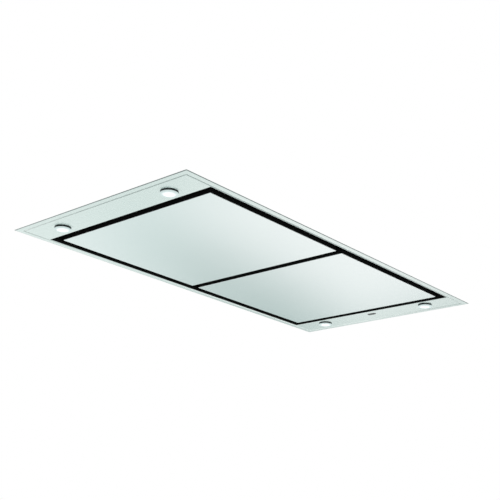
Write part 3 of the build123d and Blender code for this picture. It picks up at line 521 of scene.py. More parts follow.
def powder_coat_and_slot_shade():
    """Matt black powder coat: even black with a slight orange peel.  It is also painted shade for the inside
    of the hood, which lies in shade behind the slots.
    """
    material, tree, sockets, place = start_finish("matt_black_powder_coat", 0.0, 0.62)
    sockets["Specular IOR Level"].default_value = 0.25
    # orange peel cells about 1 mm across, drawn at 2 mm
    peel = grain(tree, place, 2, detail=1.0)
    vary(tree, sockets, peel, shades(colours().black, 0.85, 1.15), relief=(0.2, 0.05))
    return material


def zinc_plate():
    """Bright zinc plate on pressed steel: clean silver with faint blue and straw patches."""
    material, tree, sockets, place = start_finish("bright_zinc_plated_steel", 1.0, 0.28)
    red, green, blue = colours().zinc
    bluish, straw = (red * 0.90, green * 0.97, blue * 1.04), (red * 1.03, green, blue * 0.90)
    # passivation patches about 9 mm across
    vary(tree, sockets, grain(tree, place, 9), (bluish, straw), (0.35, 0.65), gloss=(0.22, 0.34))
    return material


def mill_aluminium():
    """Rolled aluminium in mill finish: pale, soft roller lines along Y."""
    material, tree, sockets, place = start_finish("mill_finish_aluminium", 1.0, 0.36)
    # roller marks about 0.5 mm apart, drawn at 2 mm
    lines = grain(tree, place, 2, 90, 2, harshness=0.6)
    vary(tree, sockets, lines, shades(colours().aluminium, 0.94, 1.04), gloss=(0.30, 0.42))
    return material


def anodised_aluminium():
    """Turned aluminium, anodised nearly black: silky, with faint rings up its side."""
    material, tree, sockets, place = start_finish("dark_anodised_aluminium", 0.85, 0.36)
    # turning marks about 0.2 mm apart, drawn at 0.8 mm
    marks = grain(tree, place, 25, 25, 0.8, detail=0.0)
    vary(tree, sockets, marks, shades(colours().lamp_body, 0.92, 1.08))
    return material


def opal_lens():
    """Opal polycarbonate over a small LED: white glow in the middle that fades towards the rim."""
    material, tree, sockets, place = start_finish("opal_polycarbonate", 0.0, 0.25)
    lamp = middle("lamp_trim_right_back")
    # distance from the nearest lamp's axis: the four lamps lie symmetrically
    offset = from_point(tree, place, lamp.x, lamp.y)
    flat = add_node(tree, "VectorMath", {"operation": "MULTIPLY", 1: (1, 1, 0)}, {0: offset})
    radius = add_node(tree, "VectorMath", {"operation": "LENGTH"}, {0: flat.outputs[0]}).outputs["Value"]
    fade = add_node(tree, "MapRange", {"From Max": LENS_R}, {"Value": radius}).outputs["Result"]
    # moulding haze about 4 mm across, only a few percent deep
    haze = add_node(tree, "Mix", {"Factor": 0.06},
                    {"A": fade, "B": grain(tree, place, 4, detail=1.0)}).outputs["Result"]
    vary(tree, sockets, haze, (colours().lens, colours().lens_rim), (0.42, 0.92), tinted="Emission Color")
    vary(tree, sockets, haze, shades(colours().lens, 0.30, 0.34))
    sockets["Emission Strength"].default_value = bpy.context.scene.hood_stage.lamp_glow
    sockets["IOR"].default_value = 1.585
    return material


def plain(name, rgb, roughness, grain_mm, depth_mm=0.05, ior=1.5):
    """Moulded, cut or sprayed skin with its own fine grain: soft sheen and a barely rough surface."""
    material, tree, sockets, place = start_finish(name, 0.0, roughness)
    vary(tree, sockets, grain(tree, place, grain_mm), shades(rgb, 0.92, 1.06), relief=(0.25, depth_mm))
    sockets["IOR"].default_value = ior
    return material


def neoprene_foam():
    """Closed cell neoprene: dull black with open pores where it was cut."""
    material, tree, sockets, place = start_finish("closed_cell_neoprene_foam", 0.0, 0.9)
    # cells about 0.6 mm across, drawn at 1.2 mm
    cells = add_node(tree, "TexVoronoi", {"Scale": 1 / (1.2 * MM)}, {"Vector": place}).outputs["Distance"]
    vary(tree, sockets, cells, shades(colours().foam, 0.6, 1.3), relief=(0.5, 0.2))
    return material


MAKERS = {
    "frame": frame_steel,
    "panel": panel_steel,
    "galvanised": galvanised_sheet,
    "black": powder_coat_and_slot_shade,
    "zinc": zinc_plate,
    "aluminium": mill_aluminium,
    "lamp_body": anodised_aluminium,
    "lens": opal_lens,
    "foam": neoprene_foam,
    "smoke": lambda: plain("smoked_acrylic", colours().smoke, 0.12, 5.0, 0.01, 1.49),
    "black_plastic": lambda: plain("black_moulded_abs", colours().black_plastic, 0.45, 0.8),
    "grey_plastic": lambda: plain("grey_moulded_abs", colours().grey_plastic, 0.5, 0.8),
    "white_plastic": lambda: plain("white_moulded_nylon", colours().white_plastic, 0.4, 1.0),
    "rubber": lambda: plain("black_nitrile_rubber", colours().rubber, 0.75, 1.2),
    "enamel": lambda: plain("grey_motor_enamel", colours().enamel, 0.35, 2.5),
    "ferrite": lambda: plain("sintered_ferrite", colours().ferrite, 0.7, 0.8),
}
FINISHES = {}


def finish(look):
    """Each finish is made once and then shared."""
    if look not in FINISHES:
        FINISHES[look] = MAKERS[look]()
    return FINISHES[look]


# ---------------------------------------------------------------- visible sheet metal
class HOOD_OT_face_frame(Operator):
    """Stainless face frame with its creased border, folded opening and holes, and the gasket behind it"""
    bl_idname = "hood.face_frame"
    bl_label = "Face frame"

    def execute(self, context):
        outer, casing, liner = high("face_frame"), high("lower_casing"), high("rim_liner")
        bend, corner, crease = sizes().bend, sizes().corner, sizes().crease
        edge, width = sizes().edge_width, sizes().crease_width
        open_x, open_y = liner.x - FRAME_SHEET, liner.y - FRAME_SHEET
        edge_steps, crease_steps = 6, 8

        def build(mesh):
            def row(out, height):
                """Row of the border at a distance out from its fold line."""
                return casing.x + out, casing.y + out, corner, FACE + height

            def slope(out):
                return BORDER_RISE * out / (outer.x - casing.x)

            rows = []
            for i in range(edge_steps + 1):
                turn = math.radians(90 * i / edge_steps)
                inset = edge * (1 - math.cos(turn))
                height = BORDER_RISE + EDGE_RISE * (1 - math.sin(turn))
                rows.append((outer.x - inset, outer.y - inset, corner, FACE + height))
            rows += [row(out, slope(out)) for out in (15 * MM, 4.6 * MM)]
            for i in range(crease_steps, -1, -1):
                out, turn = width * i / crease_steps, 2 * math.pi * i / crease_steps
                rows.append(row(out, slope(out) + crease * (1 - math.cos(turn)) / 2))
            rows.append(row(-0.4 * MM, 0))
            rows += [(open_x + radius, open_y + radius, radius, FACE + height)
                     for radius, height in arc(bend, bend, bend, 270, 180, 4)]
            rows += [(open_x, open_y, 0, outer.z), (liner.x, liner.y, 0.5 * MM, outer.z),
                     (liner.x, liner.y, 0.5 * MM, FACE + FRAME_SHEET), row(0, FRAME_SHEET)]
            sheet_stack(mesh, rows, around=True)

        def holes(mesh):
            below, above = -2 * MM, 4 * MM
            for lamp in LAMPS:
                where = middle(f"lamp_trim_{lamp}")
                prism(mesh, circle(LAMP_HOLE_R, 64), at(where.x, where.y, FACE), below, above)
            where, size = middle("receiver_window"), half("receiver_window")
            slot = rounded_rectangle(size.x, size.y, size.x - 0.01 * MM, 8)
            prism(mesh, slot, at(where.x, where.y, FACE), below, above)

        def gasket(mesh):
            bottom, top = FACE + BORDER_RISE + EDGE_RISE, high("ceiling_gasket").z
            out, into = sizes().gasket_inset, GASKET_REACH
            rows = [(outer.x - inset, outer.y - inset, corner, z)
                    for inset, z in ((out, bottom), (out, top), (into, top), (into, bottom))]
            sheet_stack(mesh, rows, around=True)

        make_piece("face_frame_sheet", build, "frame", "housing", ["face_frame"], cuts=[holes], sharp=50)
        make_piece("gasket_strip", gasket, "foam", "housing", ["ceiling_gasket"])
        return {"FINISHED"}


class HOOD_OT_suction_panels(Operator):
    """Two suction panels with satin skins and black backings, their hinges, and the walls behind them"""
    bl_idname = "hood.suction_panels"
    bl_label = "Suction panels"

    def execute(self, context):
        corner, ease = sizes().panel_corner, sizes().panel_edge
        for side, _ in SIDES:
            node = f"panel_skin_{side}"
            front, back, where, size = low(node).z, high(node).z, middle(node), half(node)

            def build(mesh):
                rows = [(size.x, size.y, corner, back)] + fold(size.x, size.y, front, ease, corner, up=-1)
                rows.append((size.x - 3 * ease, size.y - 3 * ease, corner, front))
                sheet_stack(mesh, rows, centre=(where.x, where.y))

            make_piece(f"suction_panel_{side}", build, "panel", f"panel_{side}", [node], sharp=50)
            # black backings, whose sides show in the slots: black coat and painted shade
            paint("black", f"panel_backing_{side}")
            paint("zinc", f"hinge_lugs_{side}", f"hinge_brackets_{side}")
        paint("zinc", "hinge_pins")
        paint("ferrite", "panel_magnets", "filter_magnets")
        # black coat on the liner, beam and deck, and painted shade: the deck lies in shade inside the hood
        paint("black", "rim_liner", "centre_beam", "filter_deck")
        return {"FINISHED"}


# ---------------------------------------------------------------- lamps and receiver
class HOOD_OT_lamps(Operator):
    """Four lamps: trim ring, dark finned body, and a ribbed opal lens with its rim"""
    bl_idname = "hood.lamps"
    bl_label = "Lamps"

    def execute(self, context):
        for lamp in LAMPS:
            self.lamp(lamp, sizes().round_steps * 4)
        return {"FINISHED"}

    def lamp(self, lamp, around):
        """One lamp.  Its profiles are (radius, height above the frame's face)."""
        trim_node, body_node, lens_node = (f"lamp_{part}_{lamp}" for part in ("trim", "body", "lens"))
        where = middle(trim_node)
        place = at(where.x, where.y, FACE)
        front, back = low(body_node).z - FACE, high(body_node).z - FACE
        lens_low, lens_top = low(lens_node).z - FACE, high(lens_node).z - FACE
        trim_top, gap = high(trim_node).z - FACE, 0.1 * MM
        # the opal rim ends against the dark body
        rim_back, seat = front + 2.5 * MM, LENS_R + gap

        def trim(mesh):
            inner, outer, sleeve, sheet = LAMP_R + gap, half(trim_node).x, LAMP_HOLE_R - gap, 1.4 * MM
            face, ease = -0.35 * MM, 0.25 * MM
            rows = [(inner, 0), (inner, face + ease)] + arc(inner + ease, face + ease, ease, 180, 270, 4)
            rows += arc(outer - ease, face + ease, ease, 270, 360, 4) + [(outer, 0), (sleeve, 0)]
            rows += [(sleeve, trim_top), (sleeve - sheet, trim_top), (sleeve - sheet, 0)]
            lathe(mesh, rows, place, around)

        def body(mesh):
            shoulder_r, shoulder, neck = LAMP_R + 1 * MM, 10 * MM, 14 * MM
            rows = [(seat, lens_top), (seat, rim_back), (LAMP_R, rim_back), (LAMP_R, shoulder),
                    (shoulder_r, shoulder), (shoulder_r, neck), (FIN_CORE_R, neck)]
            fin, pitch, sheet, ease = neck, 6 * MM, 1.5 * MM, 0.3 * MM
            while fin + pitch <= back + gap:
                fin += pitch
                under = fin - sheet
                rows += [(FIN_CORE_R, under), (LAMP_R - ease, under), (LAMP_R, under + ease),
                         (LAMP_R, fin - ease), (LAMP_R - ease, fin), (FIN_CORE_R, fin)]
            rows += [(AXIS_R, fin), (AXIS_R, lens_top)]
            lathe(mesh, rows, place, around)

        def rim(mesh):
            ease, rounding = 0.4 * MM, 0.6 * MM
            rows = [(seat, rim_back), (seat, front + ease), (seat + ease, front)]
            rows += arc(LAMP_R - rounding, front + rounding, rounding, 270, 360, 4) + [(LAMP_R, rim_back)]
            lathe(mesh, rows, place, around)

        def lens(mesh):
            """Shallow dome with concentric ribs, 1.6 mm apart and 0.1 mm deep."""
            bulge = front + 0.4 * MM - lens_low
            dome = (LENS_R ** 2 + bulge ** 2) / (2 * bulge)
            count, depth = 46, 0.1 * MM
            rows = []
            for i in range(count + 1):
                radius = AXIS_R + (LENS_R - AXIS_R) * i / count
                height = lens_low + dome - math.sqrt(dome ** 2 - radius ** 2)
                sunk = i % 4 in (1, 2) and i < count - 3
                rows.append((radius, height + (depth if sunk else 0)))
            rows += [(LENS_R, lens_top), (AXIS_R, lens_top)]
            lathe(mesh, rows, place, around)

        make_piece(f"lamp_ring_{lamp}", trim, "frame", "housing", [trim_node])
        make_piece(f"lamp_housing_{lamp}", body, "lamp_body", "housing", [body_node])
        make_piece(f"lamp_rim_{lamp}", rim, "lens", "housing")
        make_piece(f"lamp_dome_{lamp}", lens, "lens", "housing", [lens_node])


class HOOD_OT_receiver(Operator):
    """Smoked window of the infrared receiver, with a rounded rim"""
    bl_idname = "hood.receiver"
    bl_label = "Receiver window"

    def execute(self, context):
        node = "receiver_window"
        front, back, where, size = low(node).z, high(node).z, middle(node), half(node)
        shank, ease = 1.5 * MM, 0.35 * MM

        def build(mesh):
            profile = ((shank, back), (shank, FACE), (0, FACE), (0, front + ease),
                       (0.3 * ease, front + 0.3 * ease), (ease, front))
            rows = [(size.x - inset, size.y - inset, size.x - inset, z) for inset, z in profile]
            sheet_stack(mesh, rows, centre=(where.x, where.y), steps=10)

        make_piece("receiver_lens", build, "smoke", "housing", [node])
        return {"FINISHED"}


# ---------------------------------------------------------------- pressed and welded sheet
def rib(mesh, place, half_length, half_width, height, radius=None, root=0.4 * MM):
    """Raised rib with sloping sides on the local plane z = 0, sunk by root so that it joins the sheet."""
    radius = radius or min(half_length, half_width)
    outlines = []
    # inset and height of each row, in rib heights
    for inset, up in ((0, -root / height), (0, 0), (0.4, 0.2), (1.1, 0.85), (1.6, 1)):
        inset *= height
        corner = max(radius - inset, 0.5 * MM) * 0.999
        outlines.append((rounded_rectangle(half_length - inset, half_width - inset, corner, 6), up * height))
    stack(mesh, outlines, place)


def corner_places(x, y, level):
    """Middle of the lap beside each upright corner, on the long walls."""
    along = x - sizes().lap / 2 - sizes().casing_bend
    return [at(end * along, side * y, level, face)
            for side, face in ((-1, "front"), (1, "back")) for end in (-1, 1)]


def corner_laps(mesh, x, y, bottom, top):
    """Flanges of the end walls, folded round the upright corners and laid on the long walls."""
    half_lap, half_height, radius, ease = sizes().lap / 2, (top - bottom) / 2, 2 * MM, 0.3 * MM
    outline = rounded_rectangle(half_lap, half_height, radius, 4)
    eased = rounded_rectangle(half_lap - ease, half_height - ease, radius, 4)
    for place in corner_places(x, y, (bottom + top) / 2):
        stack(mesh, ((outline, -0.4 * MM), (outline, CASING_SHEET - ease), (eased, CASING_SHEET)), place)


def corner_welds(mesh, x, y, bottom, top):
    """Row of spot welds down each lap: low buttons with a dished middle."""
    button = ((0.01, 0.05), (1.3, 0.08), (2.2, 0.3), (2.9, 0.22), (3.3, -0.2), (0.01, -0.2))
    pitch = sizes().weld_pitch
    count = int((top - bottom - pitch / 2) // pitch) + 1
    for place in corner_places(x, y + CASING_SHEET, (bottom + top) / 2):
        for i in range(count):
            spot = place @ Matrix.Translation((0, (i - (count - 1) / 2) * pitch, 0))
            lathe(mesh, [(r * MM, h * MM) for r, h in button], spot, 16)


class HOOD_OT_casing(Operator):
    """Galvanised lower casing with pressed ribs and welded corners, and its hanger rails"""
    bl_idname = "hood.casing"
    bl_label = "Casing and rails"

    def execute(self, context):
        bottom, top = low("lower_casing").z, high("lower_casing")
        bend, wall = sizes().casing_bend, CASING_SHEET
        height, half_width = sizes().rib, sizes().rib_width / 2
        housing, box, rail = high("motor_housing"), low("control_box"), high("hanger_rail_right")

        def shell(mesh):
            sheet_stack(mesh, [(top.x, top.y, bend, bottom)] + fold(top.x, top.y, top.z, bend, bend))

        def hollow(mesh):
            inside_x, inside_y, foot_x = top.x - wall, top.y - wall, top.x - wall - CASING_FOOT
            rows = [(foot_x, inside_y, 0, bottom - 1 * MM), (foot_x, inside_y, 0, bottom + wall),
                    (inside_x, inside_y, 0, bottom + wall), (inside_x, inside_y, 0, top.z - wall)]
            sheet_stack(mesh, rows)
            where = middle("inlet_ring")
            prism(mesh, circle(INLET_HOLE_R, 64), at(where.x, where.y, top.z), -wall - 0.5 * MM, 2 * MM)

        def ribs(mesh):
            level, apart, half_long, half_roof = (bottom + top.z) / 2, 26 * MM, 235 * MM, 215 * MM
            for sign, face, end in ((-1, "front", "left"), (1, "back", "right")):
                for step in (-apart, apart):
                    for x in (-0.46 * top.x, 0.46 * top.x):
                        rib(mesh, at(x, sign * top.y, level + step, face), half_long, half_width, height)
                    rib(mesh, at(sign * top.x, 0, level + step, end), half_width, half_long, height)
                rib(mesh, at(0, sign * (housing.y + top.y) / 2, top.z), half_roof, half_width * 0.8, height)
            # across the roof: four left of the motor housing, and four pairs right of it with the control
            # box between them
            count, half_left, half_right, clear = 4, 225 * MM, 70 * MM, 30 * MM
            room = rail.x - 40 * MM - housing.x
            for i in range(count):
                out = housing.x + room * (i + 0.7) / (count + 0.4)
                rib(mesh, at(-out, 0, top.z), half_width, half_left, height)
                for y in (box.y - clear - half_right, clear + half_right - box.y):
                    rib(mesh, at(out, y, top.z), half_width, half_right, height)

        def laps(mesh):
            corner_laps(mesh, top.x, top.y, bottom + 5 * MM, top.z - bend - 1 * MM)

        def spots(mesh):
            corner_welds(mesh, top.x, top.y, bottom, top.z)

        make_piece("casing_shell", shell, "galvanised", "housing", ["lower_casing"],
                   joins=[laps, ribs, spots], cuts=[hollow])
        for side, sign in SIDES:
            self.rail(side, sign)
        paint("galvanised", "bulkhead_left", "bulkhead_right")
        return {"FINISHED"}

    def rail(self, side, sign):
        """C-shaped hanger rail with rounded folds and a hole for a suspension rod at each end."""
        node = f"hanger_rail_{side}"
        a, b = low(node), high(node)
        web, lip = (a.x, b.x) if sign > 0 else (b.x, a.x)
        outer = 3.5 * MM
        inner = outer - RAIL_SHEET

        def bend(radius, height, start, end):
            """Rounded fold beside the web."""
            return [(web + sign * x, height + z) for x, z in arc(outer, 0, radius, start, end, 4)]

        def channel(mesh):
            foot, head = a.z + outer, b.z - outer
            section = [(lip, a.z)] + bend(outer, foot, 270, 180) + bend(outer, head, 180, 90)
            section += [(lip, b.z), (lip, b.z - RAIL_SHEET)]
            section += bend(inner, head, 90, 180) + bend(inner, foot, 180, 270) + [(lip, a.z + RAIL_SHEET)]
            skin(mesh, [[(x, y, z) for x, z in section] for y in (a.y, b.y)])

        def rod_holes(mesh):
            for y in (-ROD_Y, ROD_Y):
                prism(mesh, circle(ROD_HOLE_R, 32), at((a.x + b.x) / 2, y, b.z), -4 * MM, 2 * MM)

        make_piece(f"rail_channel_{side}", channel, "galvanised", "housing", [node], cuts=[rod_holes])


class HOOD_OT_motor_housing(Operator):
    """Galvanised motor housing on its flange, with a pressed cover, and the fan inside"""
    bl_idname = "hood.motor_housing"
    bl_label = "Motor housing"

    def execute(self, context):
        bottom, top = low("motor_housing").z, high("motor_housing").z
        sheet, bend, height = CASING_SHEET, sizes().casing_bend, sizes().rib
        wall_x, wall_y = housing_walls()
        collar = middle("outlet_collar")

        def build(mesh):
            flange_x, flange_y = wall_x + HOUSING_FLANGE, wall_y + HOUSING_FLANGE
            corner, lip = 4 * MM, 12 * MM
            rows = [(flange_x, flange_y, corner, bottom), (flange_x, flange_y, corner, bottom + sheet)]
            rows += [(wall_x + out, wall_y + out, bend, bottom + sheet + up)
                     for out, up in arc(bend, bend, bend, 270, 180, 4)]
            rows += fold(wall_x, wall_y, top, bend, bend)
            for inset, corner, z in ((lip, bend, top), (lip, bend, top - sheet),
                                     (sheet, bend - sheet, top - sheet), (sheet, bend - sheet, bottom)):
                rows.append((wall_x - inset, wall_y - inset, corner, z))
            sheet_stack(mesh, rows, around=True)

        def fields(mesh):
            """Flat stiffening fields, raised from the walls.  The back one leaves room for the collar."""
            level, half_height, corner = (bottom + top) / 2 - 2 * MM, 62 * MM, 14 * MM
            for place, half_x, half_y in ((at(-wall_x, 0, level, "left"), half_height, 165 * MM),
                                          (at(wall_x, 0, level, "right"), half_height, 165 * MM),
                                          (at(0, -wall_y, level, "front"), 190 * MM, half_height),
                                          (at(-110 * MM, wall_y, level, "back"), 80 * MM, half_height)):
                rib(mesh, place, half_x, half_y, height, corner)

        def outlet(mesh):
            prism(mesh, circle(DUCT_R - 1 * MM, 64), at(collar.x, wall_y, collar.z, "back"), -6 * MM, 6 * MM)

        def laps(mesh):
            corner_laps(mesh, wall_x, wall_y, bottom + 6 * MM, top - bend - 8 * MM)

        def spots(mesh):
            corner_welds(mesh, wall_x, wall_y, bottom, top - 8 * MM)

        make_piece("motor_box", build, "galvanised", "housing", ["motor_housing"],
                   joins=[laps, fields, spots], cuts=[outlet])
        self.cover(bend, height)
        paint("black_plastic", "scroll_housing", "inlet_ring", "impeller")
        paint("rubber", "fan_feet", "motor_grommets")
        paint("enamel", "motor")
        paint("zinc", "motor_bracket", "motor_shaft")
        return {"FINISHED"}

    def cover(self, bend, height):
        """Lid with turned-down edges and a pressed field, which leaves the screws' rim at full height."""
        foot, top, sheet = low("housing_cover").z, high("housing_cover"), COVER_SHEET
        depth = height * 0.6

        def lid(mesh):
            inner_x, inner_y, inner_bend = top.x - sheet, top.y - sheet, bend - sheet
            rows = [(inner_x, inner_y, inner_bend, top.z - sheet), (inner_x, inner_y, inner_bend, foot),
                    (top.x, top.y, bend, foot)] + fold(top.x, top.y, top.z, bend, bend)
            # the field's sloping edge: inset in mm, and share of the field's depth
            for inset, share in ((22, 0), (23, 0.2), (25.5, 0.9), (27, 1)):
                rows.append((top.x - inset * MM, top.y - inset * MM, 14 * MM, top.z - share * depth))
            sheet_stack(mesh, rows, steps=6)

        def diagonal(turn):
            """Rib across the field, from corner to corner."""
            place = at(0, 0, top.z - depth) @ Matrix.Rotation(turn * math.atan2(top.y, top.x), 4, "Z")
            return lambda mesh: rib(mesh, place, 260 * MM, 6 * MM, height * 0.55, root=0.1 * MM)

        make_piece("motor_box_cover", lid, "galvanised", "housing", ["housing_cover"],
                   joins=[diagonal(-1), diagonal(1)])


class HOOD_OT_duct_collar(Operator):
    """Duct collar with a rolled bead and end, and the damper inside"""
    bl_idname = "hood.duct_collar"
    bl_label = "Duct collar"

    def execute(self, context):
        node = "outlet_collar"
        foot, reach, where, flange_r = low(node).y, 2 * half(node).y, middle(node), half(node).x
        sheet, bead, plate, root = 1 * MM, sizes().bead, 1.2 * MM, 1.6 * MM

        def beads(radius):
            """Two rolled beads that keep the duct's clip in place."""
            turns = [math.pi * i / 8 for i in range(9)]
            return [(radius + bead * math.sin(turn), along + 3 * MM * (1 - math.cos(turn)))
                    for along in (14 * MM, 34 * MM) for turn in turns]

        def build(mesh):
            inner = DUCT_R - sheet
            rows = [(flange_r, 0), (flange_r, plate)] + arc(DUCT_R + root, plate + root, root, 270, 180, 4)
            rows += beads(DUCT_R)
            rows += [(DUCT_R, reach - 0.5 * MM), (DUCT_R - 0.5 * MM, reach), (inner, reach - 0.3 * MM)]
            rows += beads(inner)[::-1] + [(inner, 0)]
            lathe(mesh, rows, at(where.x, foot, where.z, "back"), sizes().round_steps * 4)

        make_piece("duct_collar_tube", build, "galvanised", "housing", [node])
        paint("zinc", "damper_pin")
        paint("aluminium", "damper_flap_left", "damper_flap_right")
        return {"FINISHED"}


# ---------------------------------------------------------------- control box
class HOOD_OT_control_box(Operator):
    """Moulded control box with a screwed lid and a cable gland"""
    bl_idname = "hood.control_box"
    bl_label = "Control box"

    def execute(self, context):
        node = "control_box"
        a, b, where, size = low(node), high(node), middle(node), half(node)
        mould, wall, sunk, boss = sizes().mould, 2 * MM, 1.8 * MM, 7 * MM
        lid_low, lid_top = low("control_box_cover").z, high("control_box_cover").z
        seats = [at(where.x + x * (size.x - boss), where.y + y * (size.y - boss), lid_top) for x, y in SIGNS]
        gland = middle("cable_gland")
        across = at(gland.x, b.y, gland.z, "back")

        def row(inset, height, corner=mould):
            return size.x - inset, size.y - inset, corner, height

        def tub(mesh):
            ledge = 0.6 * MM
            rows = [row(wall, a.z + wall, mould - wall), row(wall, b.z, mould - wall), row(0.4 * MM, b.z),
                    row(0, b.z - 0.4 * MM), row(0, b.z - 6 * MM), row(ledge, b.z - 6 * MM - ledge),
                    row(ledge, a.z + 1.6 * MM), row(ledge + 1 * MM, a.z)]
            sheet_stack(mesh, rows, centre=(where.x, where.y), steps=5)

        def lid(mesh):
            # the plain sunk field is where a rating plate would go
            rows = [row(0.3 * MM, lid_low), row(0, lid_low + 0.3 * MM), row(0, lid_top - 1.2 * MM),
                    row(0.4 * MM, lid_top - 0.4 * MM), row(1.2 * MM, lid_top), row(14 * MM, lid_top),
                    row(14.8 * MM, lid_top - 0.6 * MM)]
            sheet_stack(mesh, rows, centre=(where.x, where.y), steps=5)

        def lid_seats(mesh):
            for seat in seats:
                prism(mesh, circle(3.6 * MM, 24), seat, -sunk, 1 * MM)

        def lid_screws(mesh):
            for seat in seats:
                screw_head(mesh, seat @ Matrix.Translation((0, 0, -sunk)), 3.2 * MM, 1.6 * MM, 0.4 * MM)

        def gland_hole(mesh):
            prism(mesh, circle(GLAND_THREAD_R, 32), across, -5 * MM, 5 * MM)

        def gland_body(mesh):
            self.gland(mesh, across, b.y, wall)

        make_piece("control_tub", tub, "grey_plastic", "housing", [node], cuts=[gland_hole])
        make_piece("control_lid", lid, "grey_plastic", "housing", ["control_box_cover"], cuts=[lid_seats])
        make_piece("control_lid_screws", lid_screws, "zinc", "housing")
        make_piece("cable_gland_body", gland_body, "black_plastic", "housing", ["cable_gland"])
        paint("white_plastic", "terminal_block", "motor_capacitor", "lamp_driver")
        return {"FINISHED"}

    def gland(self, mesh, across, outside, wall):
        """Cable gland: nut inside the wall, hexagon outside it, and a gripped cap with a rounded end."""
        bore, nut, neck, cap, rounding = 4.5 * MM, 10 * MM, 8.4 * MM, 9 * MM, 3.6 * MM
        inner, outer = low("cable_gland").y - outside, high("cable_gland").y - outside
        rows = [(bore, inner), (nut - 0.4 * MM, inner), (nut, inner + 0.6 * MM), (nut, -wall),
                (GLAND_THREAD_R, -wall), (GLAND_THREAD_R, 0), (neck, 0), (neck, 6 * MM), (cap, 6.2 * MM),
                (cap, outer - 5 * MM)]
        rows += arc(cap - rounding, outer - rounding, rounding, 10, 90, 6) + [(bore, outer)]
        lathe(mesh, rows, across, 48)
        # hexagon with an eased front, as radius and height in mm
        hexagon = ((7.4, 0.05), (10, 0.05), (10, 5.4), (9.4, 6), (7.4, 6))
        stack(mesh, [(circle(radius * MM, 6), z * MM) for radius, z in hexagon], across)
        # ridges along the cap, as their outline in mm
        ridges = 18
        ridge = [(x * MM, y * MM) for x, y in ((8.7, -0.5), (9.4, -0.3), (9.4, 0.3), (8.7, 0.5))]
        for i in range(ridges):
            prism(mesh, ridge, across @ Matrix.Rotation(2 * math.pi * i / ridges, 4, "Z"), 7 * MM, 14 * MM)


# ---------------------------------------------------------------- screws
def screw_head(mesh, place, radius, height, edge):
    """Pan head with a cross recess, standing on the local plane z = 0."""
    segments = 24
    flat = radius * 0.45
    dome = [(radius, 0), (radius, edge)]
    for i in range(1, 5):
        turn = math.radians(90 * i / 4)
        dome.append((flat + (radius - flat) * math.cos(turn), edge + (height - edge) * math.sin(turn)))
    rows = [[mesh.verts.new(place @ Vector((x, y, h))) for x, y in circle(r, segments)] for r, h in dome]
    for a, b in zip(rows, rows[1:]):
        for i in range(segments):
            j = (i + 1) % segments
            mesh.faces.new((a[i], a[j], b[j], b[i]))
    # the recess is a cross pulled down from the flat of the head
    arm, slot = flat * 0.92, flat * 0.26
    cross = []
    for turn in range(4):
        c, s = math.cos(turn * math.pi / 2), math.sin(turn * math.pi / 2)
        for x, y in ((arm, -slot), (arm, slot), (slot, slot)):
            cross.append((x * c - y * s, x * s + y * c))
    top = [mesh.verts.new(place @ Vector((x, y, height))) for x, y in cross]
    bottom = [mesh.verts.new(place @ Vector((x * 0.7, y * 0.7, height * 0.45))) for x, y in cross]
    ring = rows[-1]
    for i in range(len(top)):
        j = (i + 1) % len(top)
        mesh.faces.new((top[j], top[i], bottom[i], bottom[j]))
        a, b, c = ring[2 * i], ring[2 * i + 1], ring[(2 * i + 2) % segments]
        mesh.faces.new((a, b, top[i]))
        mesh.faces.new((b, c, top[j], top[i]))
    mesh.faces.new(bottom)
    mesh.faces.new(list(reversed(rows[0])))


class HOOD_OT_screws(Operator):
    """Sheet metal screws with cross recesses in the flanges, cover, collar and rails"""
    bl_idname = "hood.screws"
    bl_label = "Screws"

    def places(self):
        """Seat of each screw on the housing, its cover, the collar and the rails."""
        cover = high("housing_cover").z
        rail, rail_floor = high("hanger_rail_right").x, low("hanger_rail_right").z + RAIL_SHEET
        collar, collar_low = middle("outlet_collar"), low("outlet_collar")
        flange = low("motor_housing").z + CASING_SHEET
        half_flange, inset, row_y = HOUSING_FLANGE / 2, 90 * MM, 190 * MM
        wall_x, wall_y = housing_walls()
        spread = (collar.x - collar_low.x - 3.7 * MM) * math.sqrt(0.5)
        seats = []
        for x, y in SIGNS:
            seats += [at(x * (wall_x - inset), y * (wall_y + half_flange), flange),
                      at(x * (wall_x + half_flange), y * (wall_y - inset), flange),
                      at(x * (wall_x - CASING_FOOT / 2), y * (wall_y - inset), cover),
                      at(collar.x + x * spread, collar_low.y + 1.2 * MM, collar.z + y * spread, "back")]
        for x in (-1, 1):
            seats += [at(x * (rail - 20 * MM), y, rail_floor) for y in (-row_y, 0, row_y)]
        return seats

    def execute(self, context):
        def heads(mesh):
            for place in self.places():
                screw_head(mesh, place, 3.4 * MM, 2.2 * MM, 0.6 * MM)
                prism(mesh, circle(2 * MM, 16), place, -2 * MM, 0.01 * MM)
            top, shaft = high("motor_bracket").z, middle("motor_shaft")
            for x, y in arc(shaft.x, shaft.y, ARM_CIRCLE_R, 90, 330, 2):
                screw_head(mesh, at(x, y, top), 4.5 * MM, 3 * MM, 0.8 * MM)
                prism(mesh, circle(2.5 * MM, 16), at(x, y, top), -5 * MM, 0.01 * MM)

        make_piece("screw_set", heads, "zinc", "housing", ["body_screws"])
        return {"FINISHED"}


